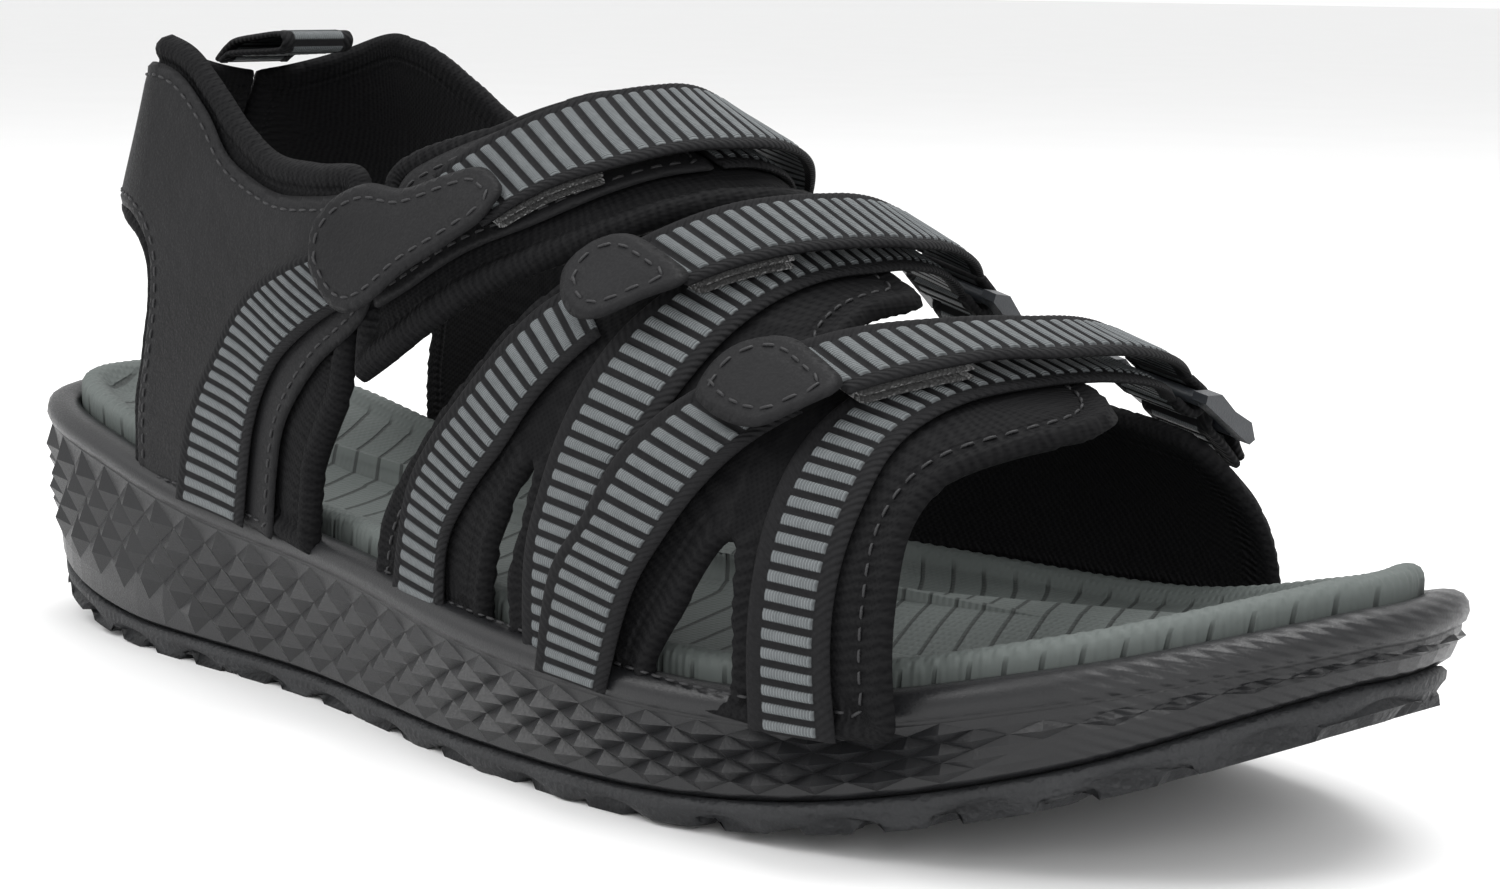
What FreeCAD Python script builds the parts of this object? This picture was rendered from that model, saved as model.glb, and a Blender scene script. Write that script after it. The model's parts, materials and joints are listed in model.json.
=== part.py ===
import FreeCAD, Part
import math
import os

# Strappy sport sandal, right foot.  Millimetres, +X toe, +Y inner (medial) side, +Z up.
# The origin is on the flat of the tread, under the middle of the shoe's length.

V = FreeCAD.Vector
os.makedirs("parts", exist_ok=True)

# ---- driving dimensions -------------------------------------------------------------------
RUBBER = 4.5            # thickness of the tread rubber
FIT = 0.2               # gap between stacked pieces
RIM_WALL = 6.0          # from the outline to the footbed's edge
EDGE_UP = 5.0           # the footbed's raised edge above the rim
EDGE_WIDE = 5.5         # width of that edge
BED_DEEP = 7.0          # how far the footbed sits below the rim
BOARD = 1.5             # thickness of the lasting board
TUCK = -6.0             # how far the upper runs down into the sole

PAD = (0.0, 2.8)        # each layer of the upper: inner and outer height over the foot
COVER = (3.2, 4.4)
WEB_LOW = (3.2, 4.6)
WEB_HIGH = (4.8, 6.2)
WEB_SIDE = (4.8, 6.0)   # webbing sewn over the quarter
WEB_TAIL = (5.0, 6.2)   # the pull loop's tail over the back seam
LOOP_TAPE = (4.8, 5.9)
HOOK_TAPE = (6.2, 7.3)
TAPE = (0.02, 0.24)     # the stretch of a strap that its hook and loop tapes cover
STRAP = (7.5, 9.0)
TAB = (9.1, 10.6)

BAR_R = 1.1             # the two round bars of a strap ring
BAR_AT = 5.1            # each bar's axis from the ring's middle
ARM = 3.0               # width of the ring's side arms
FOLD_IN = 1.4           # inner and outer radius of webbing folded round a bar
FOLD_OUT = 2.9
FOLD_END = 7.0          # where a fold's straight legs end
FOLD_GAP = 1.1          # from those legs to the strap and to the leg below it
KEEPER_END = 13.0       # where the keeper's legs end, sewn to the inner panel

LOOP_WIDE = 16.0        # heel pull loop, and its profile back from and above the collar's top
LOOP = [(-2.6, 1.6), (-2.6, 2.6), (-1.5, 3.4), (1, 5.2), (4, 6.4), (18, 8), (20, 6.4), (20, 4.8),
        (18, 3.4), (2, 2.8), (-1.2, 1.3)]
LOOP_PIVOT = (-1.5, 2.0)
LOOP_ROLL = 0.7         # the rolled root that the loop tips about

# ---- the sole's outline and side profile --------------------------------------------------
OUTLINE = [(-146, 0), (-138, -28), (-100, -38), (-45, -40.5), (10, -51), (55, -53), (95, -44),
           (128, -24), (144.5, 4), (139.5, 30.5), (112, 46), (65, 50), (20, 44), (-30, 34),
           (-80, 33), (-115, 31), (-137, 18)]
RIM = [(-144, 43.8), (-110, 38.5), (-70, 31.5), (-20, 27.9), (30, 24.2), (80, 23.9),
       (115, 30.5), (144, 38.2)]
TREAD = [(-144, 9.2), (-120, 2.4), (-95, -0.8), (40, -0.8), (80, 3.0), (115, 11.2), (144, 22.6)]

# ---- the foot shape that the upper wraps ---------------------------------------------------
STATION = [-100, -60, -40, -20, 0, 20, 40, 60, 80, 100, 120]
MIDDLE = [-1, -2, -3, -3, -3, -3, -2, -1, 0, 1, 3]
HALF = [32, 34, 36, 38, 41, 44, 46.5, 48, 48, 46, 40]
BASE = [38, 35, 32, 30, 28, 27, 26, 25, 25, 26, 29]
TOP = [150, 144, 129, 113, 100, 91, 82, 73, 66, 60, 55]
HEEL_X = -92.0          # behind this the foot shape is a round heel
OUTER_POWER = 2.3       # roundness of the sections, outer and inner side
INNER_POWER = 1.8
STEPS = 120


def smooth(x, xs, ys):
    """A smooth curve through the stations."""
    x = min(max(x, xs[0]), xs[-1])
    i = max(j for j in range(len(xs) - 1) if xs[j] <= x)

    def slope(j):
        a, b = max(j - 1, 0), min(j + 1, len(xs) - 1)
        return (ys[b] - ys[a]) / (xs[b] - xs[a])

    h = xs[i + 1] - xs[i]
    t = (x - xs[i]) / h
    rise = (1 + 2 * t) * (1 - t) ** 2 * ys[i] + t * t * (3 - 2 * t) * ys[i + 1]
    return rise + h * t * (1 - t) * ((1 - t) * slope(i) - t * slope(i + 1))


HEEL_R = smooth(HEEL_X, STATION, HALF)
HEEL_ARC = math.pi * HEEL_R
INNER_U = HEEL_X - HEEL_ARC     # from here on, u runs forward along the inner wall


def heel_lean(z):
    """The back of the heel leans in towards the ankle."""
    t = min(1.0, max(0.0, (z - 66) / 46))
    return 1 - 0.55 * t * t * (3 - 2 * t)


def section(u, t):
    """A point of the foot shape. u is the place along the outer wall, round the heel and back
    along the inner wall; t runs from the outer base over the top to the inner base."""
    x = u if u >= HEEL_X else max(HEEL_X, INNER_U + HEEL_X - u)
    turn = min(1.0, max(0.0, (HEEL_X - u) / HEEL_ARC))
    yc, w, zb, zt = (smooth(x, STATION, a) for a in (MIDDLE, HALF, BASE, TOP))
    power = INNER_POWER if t > 0.5 else OUTER_POWER + (INNER_POWER - OUTER_POWER) * turn
    c = math.cos(math.pi * t)
    out = math.copysign(abs(c) ** (2 / power), c) * w
    z = zb + (zt - zb) * max(0.0, math.sin(math.pi * t)) ** (2 / power)
    phi = math.pi * turn
    back = out * math.sin(phi) * heel_lean(z) if 0 < turn < 1 else 0.0
    return V(x - back, yc - out * math.cos(phi), z)


ARCS = {}


def arc_table(u):
    key = round(u, 3)
    if key not in ARCS:
        last = 1.0 if u >= HEEL_X else 0.5
        points = [section(u, last * i / STEPS) for i in range(STEPS + 1)]
        length = [0.0]
        for a, b in zip(points, points[1:]):
            length.append(length[-1] + (b - a).Length)
        ARCS[key] = (points, length)
    return ARCS[key]


def total(u):
    return arc_table(u)[1][-1]


def on_foot(u, s):
    """The point at arc length s above the outer base, at the place u."""
    points, length = arc_table(u)
    if s <= 0:
        return points[0] + V(0, 0, s)
    i = 0
    while i < STEPS - 1 and length[i + 1] < s:
        i += 1
    t = (s - length[i]) / (length[i + 1] - length[i])
    return points[i] + (points[i + 1] - points[i]) * t


def over(u, s, high):
    """The same point, lifted straight out from the foot."""
    du = on_foot(u + 1, s) - on_foot(u - 1, s)
    ds = on_foot(u, s + 1) - on_foot(u, max(s - 1, -8))
    n = du.cross(ds)
    n.normalize()
    return on_foot(u, s) + n * high


# ---- curves and sheets over the foot -------------------------------------------------------
def outer_s(p):
    """(u, s) with s from the outer base; a negative s under -30 counts from the inner base."""
    u, s = p
    return (u, total(u) + s) if s < -30 else (float(u), float(s))


def along(points, n):
    """n + 1 evenly spaced points of a smooth curve through the given ones."""
    pts = [outer_s(p) for p in points]
    fine = [pts[0]]
    for i in range(len(pts) - 1):
        p0, p1, p2, p3 = pts[max(i - 1, 0)], pts[i], pts[i + 1], pts[min(i + 2, len(pts) - 1)]
        for k in range(1, 9):
            t = k / 8
            fine.append(tuple(
                0.5 * (2 * b + (c - a) * t + (2 * a - 5 * b + 4 * c - d) * t * t
                       + (3 * b - a - 3 * c + d) * t ** 3)
                for a, b, c, d in zip(p0, p1, p2, p3)))
    length = [0.0]
    for a, b in zip(fine, fine[1:]):
        length.append(length[-1] + math.hypot(b[0] - a[0], b[1] - a[1]))
    out = []
    for k in range(n + 1):
        want = length[-1] * k / n
        i = 0
        while i < len(fine) - 2 and length[i + 1] < want:
            i += 1
        t = (want - length[i]) / (length[i + 1] - length[i])
        a, b = fine[i], fine[i + 1]
        out.append((a[0] + (b[0] - a[0]) * t, a[1] + (b[1] - a[1]) * t))
    return out


def surface(grid):
    s = Part.BSplineSurface()
    s.interpolate(grid)
    return s


def closed_between(low, high):
    """A solid between two surfaces that face each other."""
    faces = [low.toShape(), high.toShape()]
    u0, u1, v0, v1 = low.bounds()
    a0, a1, b0, b1 = high.bounds()
    borders = [(low.uIso(u0), high.uIso(a0)), (low.uIso(u1), high.uIso(a1)),
               (low.vIso(v0), high.vIso(b0)), (low.vIso(v1), high.vIso(b1))]
    faces += [Part.makeRuledSurface(a.toShape(), b.toShape()) for a, b in borders]
    shell = Part.Shell(faces)
    shell.sewShape()
    solid = Part.Solid(shell)
    if solid.Volume < 0:
        solid.reverse()
    return solid


def strip(edge_a, edge_b, layer, n=12, across=4, a=0.0, b=1.0):
    """A sheet of the upper between two edge curves, in one layer. a and b trim its ends."""
    first, second = along(edge_a, 48), along(edge_b, 48)
    grids = [[], []]
    for i in range(n + 1):
        at = (a + (b - a) * i / n) * 48
        k = min(int(at), 47)
        ends = [tuple(e[k][j] + (e[k + 1][j] - e[k][j]) * (at - k) for j in (0, 1))
                for e in (first, second)]
        for grid, high in zip(grids, layer):
            grid.append([over(ends[0][0] + (ends[1][0] - ends[0][0]) * j / across,
                              ends[0][1] + (ends[1][1] - ends[0][1]) * j / across, high)
                         for j in range(across + 1)])
    return closed_between(surface(grids[0]), surface(grids[1]))


# ---- the sole ------------------------------------------------------------------------------
def outline_face(inset):
    """The plan outline, drawn in by an even amount, as a flat face."""
    n = len(OUTLINE)
    points = []
    for i, (x, y) in enumerate(OUTLINE):
        ax, ay = OUTLINE[i - 1]
        bx, by = OUTLINE[(i + 1) % n]
        size = math.hypot(bx - ax, by - ay)
        points.append(V(x - (by - ay) / size * inset, y + (bx - ax) / size * inset, 0))
    curve = Part.BSplineCurve()
    curve.interpolate(points, PeriodicFlag=True)
    return Part.Face(Part.Wire(curve.toShape()))


def profile(points, lift):
    curve = Part.BSplineCurve()
    xs, zs = [p[0] for p in points], [p[1] for p in points]
    curve.interpolate([V(x, -80, smooth(x, xs, zs) + lift) for x in range(-144, 145, 24)])
    return curve.toShape()


def slab(low, low_lift, high, high_lift):
    """Everything between two side profiles, right across the sole."""
    a, b = profile(low, low_lift), profile(high, high_lift)
    ends = []
    for i in (0, -1):
        p, q = a.Vertexes[i].Point, b.Vertexes[i].Point
        out = V(-10 if i == 0 else 10, 0, 0)
        ends.append([Part.makeLine(p, p + out), Part.makeLine(p + out, q + out),
                     Part.makeLine(q + out, q)])
    wire = Part.Wire(Part.__sortEdges__([a, b] + ends[0] + ends[1]))
    return Part.Face(wire).extrude(V(0, 160, 0))


def sole_layer(inset, low, low_lift, high, high_lift):
    block = outline_face(inset).extrude(V(0, 0, 90))
    block.translate(V(0, 0, -20))
    return block.common(slab(low, low_lift, high, high_lift))


# ---- the edges of each piece of the upper ---------------------------------------------------
# (place along the foot, arc height over the outer base); below -30: arc height over the inner
# base.  Behind the heel the place runs on: -143 is the back seam, -286 - x the inner wall at x.
QUARTER_LOW = [(-142.6, 47), (-125, 45), (-110, 43), (-98, 42), (-91, 36), (-90, 27), (-92, 17),
               (-94, 7), (-94, TUCK)]
QUARTER_HIGH = [(-142.6, 66), (-122, 68), (-103, 69), (-87, 68), (-75, 62), (-66, 55), (-52, 52),
                (-38, 54), (-25, 56), (-21, 47), (-22, 37), (-34, 27), (-43, 16), (-46, 7),
                (-48, TUCK)]
LINING_LOW = [(-142.6, 44), (-125, 42), (-110, 40), (-99, 38), (-94, 34), (-93, 27), (-95, 17),
              (-97, 7), (-97, TUCK)]
LINING_HIGH = [(-142.6, 71), (-122, 73), (-103, 74.5), (-87, 73), (-76, 68), (-66, 62), (-55, 58),
               (-43, 59), (-31, 60), (-26.5, 50), (-26.5, 35), (-27.5, 24), (-31, 17), (-35, 9),
               (-37, TUCK)]
BAND_LOW = [(-25.5, 25), (-16, 31), (-4, 40), (3, 45), (10, 49), (18, 54), (24, 60), (28, 67),
            (31, 76), (33, -78), (30, -69), (22, -61)]
BAND_HIGH = [(-25.5, 62), (-21, 65), (-15, 69), (-9, 73), (-5, 81), (-4, 91), (-5, -80), (-8, -71),
             (-10, -64)]
BAND_COVER_LOW = [(-20.5, 38), (-12, 43), (-1, 51), (11, 58), (18, 66), (22, 75), (24, 82)]
BAND_COVER_HIGH = [(-20.5, 60), (-14, 65), (-7, 71), (-2, 79), (0, 87)]
PANEL_LEFT = [(-18, TUCK), (-15, 7), (-7, 18), (1, 28), (9, 37), (15, 45), (24, 55), (33, 65),
              (42, 76), (49, 82)]
PANEL_RIGHT = [(99, TUCK), (97, 13), (95, 24), (96, 33), (101, 41), (104, 50), (102, 59),
               (96, 66)]
NOTCH = [(63, 52), (62, 90), (85, 74)]
SLITS = [[(16.5, -3), (17.5, 7), (21, 16), (26, 23), (24.5, 14), (22, 6), (22, -3)],
         [(55.5, -3), (61, 8), (67.5, 19), (70, 12), (70, -3)]]
INNER_REAR = [(-12, TUCK), (-8, 6), (2, 16), (14, 27), (26, 38)]     # from the inner base up
INNER_FRONT = [(94, TUCK), (94, 6), (93, 15), (90, 24), (86, 31)]
ARM_REAR = [(-260, 50), (-270, 51), (-281, 51)]
ARM_FRONT = [(-260, 24), (-283, 30), (-299, 36)]

WEBS = {
    "webbing_1": ([(-79, TUCK), (-75, 9), (-67, 21), (-57, 33), (-43, 42), (-30, 47)],
                  [(-56, TUCK), (-52, 12), (-45, 24), (-36, 32), (-26, 38), (-16, 42)],
                  WEB_SIDE),
    "webbing_2": ([(-10, TUCK), (-6, 12), (0, 22), (7, 30), (12, 36), (19, 45), (24, 50)],
                  [(6, TUCK), (7, 7), (13, 16), (20, 24), (25, 32), (30, 39), (33, 43)],
                  WEB_LOW),
    "webbing_4": ([(33, TUCK), (36, 9), (42, 18), (46, 27), (51, 34), (58, 42)],
                  [(49, TUCK), (54, 9), (59, 18), (63, 25), (67, 31), (72, 37)],
                  WEB_HIGH),
    "inner_webbing": ([(-207, TUCK), (-217, 12), (-232, 25), (-252, 36), (-268, 43), (-272, 44.6)],
                      [(-229, TUCK), (-236, 9), (-248, 18), (-266, 26), (-285, 33), (-290, 35)],
                      WEB_SIDE),
}

# Each strap: its two edges from tab to ring, the tab's edges, and the lower leg's edges.
STRAPS = {
    "instep": dict(
        rear=[(-10, 60), (-3, 69), (1, 76), (4, 84), (4, -86), (1, -77), (-3, -68), (-7, -58)],
        front=[(5, 54), (12, 61), (19, 68), (23, 77), (25, 85), (24, -76), (19, -67), (11, -58)],
        tab_low=[(-31, 43), (-25, 38.5), (-19, 37.5), (-13, 40), (-7, 45), (0, 49.5), (6, 54)],
        tab_high=[(-32, 49), (-28, 54), (-21, 57), (-13, 57), (-6, 60), (0, 62), (7, 59)],
        leg="instep_strap_leg",
        leg_rear=[(1, 88), (3, -85), (1, -77), (-3, -68), (-6.5, -58)],
        leg_front=[(23.5, 83), (23, -77), (18, -67), (10.5, -58)]),
    "middle": dict(
        rear=[(31, 55), (34, 61), (37, 69), (39, 76), (40, -78), (39, -69), (37, -60), (33, -52)],
        front=[(44, 51), (49, 60), (53, 69), (55, 77), (56, -72), (54, -64), (51.5, -57),
               (48, -51)],
        tab_low=[(27, 46), (31, 43), (36, 43), (40, 46), (45, 50)],
        tab_high=[(25, 49.5), (27, 54), (31, 56), (37, 54.5), (44, 52)],
        leg="webbing_3",
        leg_rear=[(28, TUCK), (28, 10), (30, 20), (32, 30), (35, 42), (39, 54), (41, 63),
                  (42, 74), (42, -76), (40, -68), (37, -59), (33.5, -52)],
        leg_front=[(46, TUCK), (44, 12), (45, 22), (49, 31), (51, 39), (52, 48), (53, 58),
                   (54, 68), (55, -78), (54, -68), (51, -59), (47.5, -51)]),
    "front": dict(
        rear=[(64, 45), (69, 51), (75, 58), (79, 66), (81, -67), (80, -58), (77, -49), (73, -41)],
        front=[(78, 39), (84, 46), (89, 54), (93, 60), (95, -60), (94.5, -52), (91.5, -45),
               (88, -39)],
        tab_low=[(57.5, 35), (63, 32.5), (70, 31.5), (74, 34), (78, 38)],
        tab_high=[(57, 39), (58.5, 43), (64, 45.5), (70, 43.5), (77, 40)],
        leg="webbing_5",
        leg_rear=[(76, TUCK), (75, 12), (74, 25), (74, 35), (76, 46), (79, 56), (82, 65),
                  (82, -65), (80, -57), (77, -49), (73.5, -41)],
        leg_front=[(91, TUCK), (89, 12), (88, 25), (87, 36), (89, 47), (92, 56), (94.5, -62),
                   (94.5, -55), (93, -48), (87.5, -39)]),
}


TUCKED = ("outer_quarter", "outer_lining", "inner_quarter", "inner_lining",
          "outer_forefoot_panel", "inner_forefoot_panel", "webbing_1", "webbing_2", "webbing_3",
          "webbing_4", "webbing_5", "inner_webbing")


class RingFrame:
    """The local frame of a strap ring: a along its bars, b down the inner side, c outward."""

    def __init__(self, strap):
        back, front = outer_s(strap["rear"][-1]), outer_s(strap["front"][-1])
        mid_strap = (STRAP[0] + STRAP[1]) / 2
        p, q = over(*back, mid_strap), over(*front, mid_strap)
        middle = ((back[0] + front[0]) / 2, (back[1] + front[1]) / 2)
        self.a = q - p
        self.a.normalize()
        outward = over(*middle, 1) - over(*middle, 0)
        self.c = outward - self.a * outward.dot(self.a)
        self.c.normalize()
        self.b = self.a.cross(self.c) * -1
        strap_end = FOLD_END + FOLD_GAP
        self.origin = (p + q) * 0.5 + self.b * strap_end - self.c * ((FOLD_IN + FOLD_OUT) / 2)

    def at(self, a, b, c):
        return self.origin + self.a * a + self.b * b + self.c * c

    def place(self, shape):
        """Moves a shape drawn in (a, b, c) into the shoe's frame."""
        m = FreeCAD.Matrix(self.a.x, self.b.x, self.c.x, self.origin.x,
                           self.a.y, self.b.y, self.c.y, self.origin.y,
                           self.a.z, self.b.z, self.c.z, self.origin.z, 0, 0, 0, 1)
        moved = shape.copy()
        moved.Placement = FreeCAD.Placement(m).multiply(moved.Placement)
        return moved


def ring_shape(wide):
    """A rectangular loop: two round bars between two faceted side arms."""
    half = wide / 2 + 1.2
    inner = BAR_AT + 0.2
    arms = []
    for side in (-1, 1):
        x0, x1 = (half, half + ARM) if side > 0 else (-half - ARM, -half)
        outline = [(-inner - 1.6, -0.9), (inner + 1.6, -0.9), (inner + 2.2, 0.3),
                   (inner - 0.6, 2.0), (0, 1.5), (-inner + 0.6, 2.0), (-inner - 2.2, 0.3)]
        face = Part.Face(Part.makePolygon([V(x0, y, z) for y, z in outline + outline[:1]]))
        arms.append(face.extrude(V(x1 - x0, 0, 0)))
    bars = [Part.makeCylinder(BAR_R, 2 * half + 1, V(-half - 0.5, b, 0), V(1, 0, 0))
            for b in (-BAR_AT, BAR_AT)]
    shape = arms[0].fuse([arms[1]] + bars)
    return shape.removeSplitter()


def fold_shape(wide, side, end):
    """Webbing folded round a bar: side -1 opens up towards the strap, +1 down to the panel."""
    near = side * 3.4
    far = side * end
    tip_in, tip_out = near - side * FOLD_IN, near - side * FOLD_OUT

    def bow(r, tip):
        return Part.Arc(V(0, near, -r), V(0, tip, 0), V(0, near, r)).toShape()

    def leg(c0, c1, b0, b1):
        return Part.makeLine(V(0, b0, c0), V(0, b1, c1))

    edges = [bow(FOLD_IN, tip_in), bow(FOLD_OUT, tip_out),
             leg(FOLD_IN, FOLD_IN, near, far), leg(FOLD_OUT, FOLD_OUT, near, far),
             leg(FOLD_IN, FOLD_OUT, far, far), leg(-FOLD_IN, -FOLD_IN, near, far),
             leg(-FOLD_OUT, -FOLD_OUT, near, far), leg(-FOLD_IN, -FOLD_OUT, far, far)]
    wire = Part.Wire(Part.__sortEdges__(edges))
    shape = Part.Face(wire).extrude(V(wide, 0, 0))
    shape.translate(V(-wide / 2, 0, 0))
    return shape


def prism(points, direction, depth):
    """A straight cutter through points of the foot surface, along one axis."""
    flat = []
    for p in points:
        q = over(*outer_s(p), 1.5)
        flat.append(V(q.x, -80, q.z) if direction == "y" else V(q.x, q.y, 45))
    face = Part.Face(Part.makePolygon(flat + flat[:1]))
    return face.extrude(V(0, depth, 0) if direction == "y" else V(0, 0, depth))


def inner_side(points):
    """Outer-side heel and quarter edges carried to the inner side."""
    return [(INNER_U + HEEL_X - u, s) for u, s in points]


def from_inner_base(points):
    return [(u, total(u) - s) for u, s in points]


def build():
    nodes = {}

    # upper: heel and quarters
    nodes["outer_quarter"] = strip(QUARTER_LOW, QUARTER_HIGH, COVER, 26, 6)
    nodes["outer_lining"] = strip(LINING_LOW, LINING_HIGH, PAD, 26, 6)
    nodes["inner_quarter"] = strip(inner_side(QUARTER_LOW), inner_side(QUARTER_HIGH), COVER, 26, 6)
    nodes["inner_lining"] = strip(inner_side(LINING_LOW), inner_side(LINING_HIGH), PAD, 26, 6)

    # upper: the band over the instep, from the outer quarter to its free inner end
    nodes["instep_pad"] = strip(BAND_LOW, BAND_HIGH, PAD, 14)
    nodes["instep_cover"] = strip(BAND_COVER_LOW, BAND_COVER_HIGH, COVER, 12)

    # upper: forefoot panels
    panel = strip(PANEL_LEFT, PANEL_RIGHT, PAD, 14, 8)
    panel = panel.cut(prism(NOTCH, "z", 80))
    for slit in SLITS:
        panel = panel.cut(prism(slit, "y", 75))
    nodes["outer_forefoot_panel"] = panel
    nodes["inner_forefoot_panel"] = strip(from_inner_base(INNER_REAR),
                                          from_inner_base(INNER_FRONT), PAD, 8, 8)
    nodes["inner_arm_pad"] = strip(ARM_REAR, ARM_FRONT, PAD, 6)
    for name, (rear, front, layer) in WEBS.items():
        nodes[name] = strip(rear, front, layer, 12, 2)

    # the three straps
    for name, strap in STRAPS.items():
        ring = RingFrame(strap)
        wide = (over(*outer_s(strap["front"][-1]), 8) - over(*outer_s(strap["rear"][-1]), 8)).Length
        nodes[strap["leg"]] = strip(strap["leg_rear"], strap["leg_front"], WEB_LOW, 14, 2)
        nodes[name + "_strap"] = strip(strap["rear"], strap["front"], STRAP, 12, 2)
        nodes[name + "_tab"] = strip(strap["tab_low"], strap["tab_high"], TAB, 8, 3)
        for tape, layer in (("hook_tape", HOOK_TAPE), ("loop_tape", LOOP_TAPE)):
            nodes[f"{name}_{tape}"] = strip(strap["rear"], strap["front"], layer, 4, 2, *TAPE)
        nodes[name + "_ring"] = ring.place(ring_shape(wide))
        nodes[name + "_fold"] = ring.place(fold_shape(wide - 0.6, -1, FOLD_END))
        nodes[name + "_keeper"] = ring.place(fold_shape(wide - 0.6, 1, KEEPER_END))
        for label, b in (("keeper bar", BAR_AT), ("strap bar", -BAR_AT)):
            p = ring.at(0, b, 0)
            print(name, label, [round(v, 2) for v in p], [round(v, 4) for v in ring.a])

    # heel pull loop: its sewn tail on the heel, and the loop that tips up from the collar
    nodes["pull_loop_tail"] = strip([(-143 + LOOP_WIDE / 2, 50), (-143 + LOOP_WIDE / 2, 65)],
                                    [(-143 - LOOP_WIDE / 2, 50), (-143 - LOOP_WIDE / 2, 65)],
                                    WEB_TAIL, 3, 3)
    top = over(-143, 71, 1.5)
    flat = [V(top.x + x, top.y - LOOP_WIDE / 2, top.z + z) for x, z in LOOP]
    loop = Part.Face(Part.makePolygon(flat + flat[:1]))
    roll = Part.makeCylinder(LOOP_ROLL, LOOP_WIDE, V(top.x + LOOP_PIVOT[0],
                             top.y - LOOP_WIDE / 2, top.z + LOOP_PIVOT[1]), V(0, 1, 0))
    nodes["heel_pull_loop"] = loop.extrude(V(0, LOOP_WIDE, 0)).fuse(roll).removeSplitter()
    print("loop pivot", round(top.x + LOOP_PIVOT[0], 2), round(top.z + LOOP_PIVOT[1], 2))

    # sole
    ground = Part.makeBox(400, 200, 20, V(-200, -100, -20))
    nodes["outsole"] = sole_layer(3.0, TREAD, 0, TREAD, RUBBER).cut(ground)
    midsole = sole_layer(0, TREAD, RUBBER + FIT, RIM, 0)
    recess = BED_DEEP + BOARD + 2 * FIT
    midsole = midsole.cut(sole_layer(RIM_WALL, RIM, -recess, RIM, 20))
    for name in TUCKED:
        midsole = midsole.cut(nodes[name])
    nodes["midsole"] = max(midsole.Solids, key=lambda solid: solid.Volume)
    bed = sole_layer(RIM_WALL + FIT, RIM, -BED_DEEP, RIM, EDGE_UP)
    nodes["footbed"] = bed.cut(sole_layer(RIM_WALL + EDGE_WIDE, RIM, 0, RIM, 30))
    nodes["lasting_board"] = sole_layer(RIM_WALL + 1, RIM, -recess + FIT, RIM, -BED_DEEP - FIT)
    return nodes


for node, shape in build().items():
    box = shape.BoundBox
    print(f"{node:24s} {len(shape.Solids)} solid {shape.isValid()} {shape.Volume / 1000:8.2f} cm3",
          [round(v) for v in (box.XMin, box.XMax, box.YMin, box.YMax, box.ZMin, box.ZMax)])
    shape.exportStep(f"parts/{node}.step")
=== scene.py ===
import json
import math

import bpy
import numpy as np
from mathutils import Matrix, Vector
from mathutils.geometry import delaunay_2d_cdt


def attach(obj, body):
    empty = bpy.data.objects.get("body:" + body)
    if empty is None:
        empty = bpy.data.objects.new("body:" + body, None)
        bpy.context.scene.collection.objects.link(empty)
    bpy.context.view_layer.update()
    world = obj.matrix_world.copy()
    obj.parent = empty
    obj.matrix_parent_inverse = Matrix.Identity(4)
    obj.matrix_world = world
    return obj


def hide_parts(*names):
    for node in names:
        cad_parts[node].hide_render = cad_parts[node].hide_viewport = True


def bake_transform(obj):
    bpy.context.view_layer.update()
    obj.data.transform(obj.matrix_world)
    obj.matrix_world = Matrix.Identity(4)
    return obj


# Strappy sport sandal.  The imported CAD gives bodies, joints and places; this script makes the
# visible pieces over the same foot shape, in millimetres, and writes them in metres.

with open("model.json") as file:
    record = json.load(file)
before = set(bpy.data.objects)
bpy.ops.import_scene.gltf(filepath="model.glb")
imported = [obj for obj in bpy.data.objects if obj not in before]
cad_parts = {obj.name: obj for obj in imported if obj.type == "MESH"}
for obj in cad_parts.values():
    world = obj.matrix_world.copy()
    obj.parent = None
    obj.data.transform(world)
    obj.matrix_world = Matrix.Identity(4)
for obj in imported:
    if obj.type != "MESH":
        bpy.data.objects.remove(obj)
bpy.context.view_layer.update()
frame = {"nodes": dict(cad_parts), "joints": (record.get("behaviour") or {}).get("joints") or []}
JOINTS = {j["name"]: j for j in frame["joints"]}
MM = 0.001

# ---- the foot shape, as the CAD has it -------------------------------------------------------
STATION = [-100, -60, -40, -20, 0, 20, 40, 60, 80, 100, 120]
MIDDLE = [-1, -2, -3, -3, -3, -3, -2, -1, 0, 1, 3]
HALF = [32, 34, 36, 38, 41, 44, 46.5, 48, 48, 46, 40]
BASE = [38, 35, 32, 30, 28, 27, 26, 25, 25, 26, 29]
TOP = [150, 144, 129, 113, 100, 91, 82, 73, 66, 60, 55]
HEEL_X = -92.0
OUTER_POWER, INNER_POWER = 2.3, 1.8
TUCK = -6.0

OUTLINE = [(-146, 0), (-138, -28), (-100, -38), (-45, -40.5), (10, -51), (55, -53), (95, -44),
           (128, -24), (144.5, 4), (139.5, 30.5), (112, 46), (65, 50), (20, 44), (-30, 34),
           (-80, 33), (-115, 31), (-137, 18)]
RIM = [(-144, 43.8), (-110, 38.5), (-70, 31.5), (-20, 27.9), (30, 24.2), (80, 23.9),
       (115, 30.5), (144, 38.2)]
TREAD = [(-144, 9.2), (-120, 2.4), (-95, 0), (40, 0), (80, 3.0), (115, 11.2), (144, 22.6)]


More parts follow.
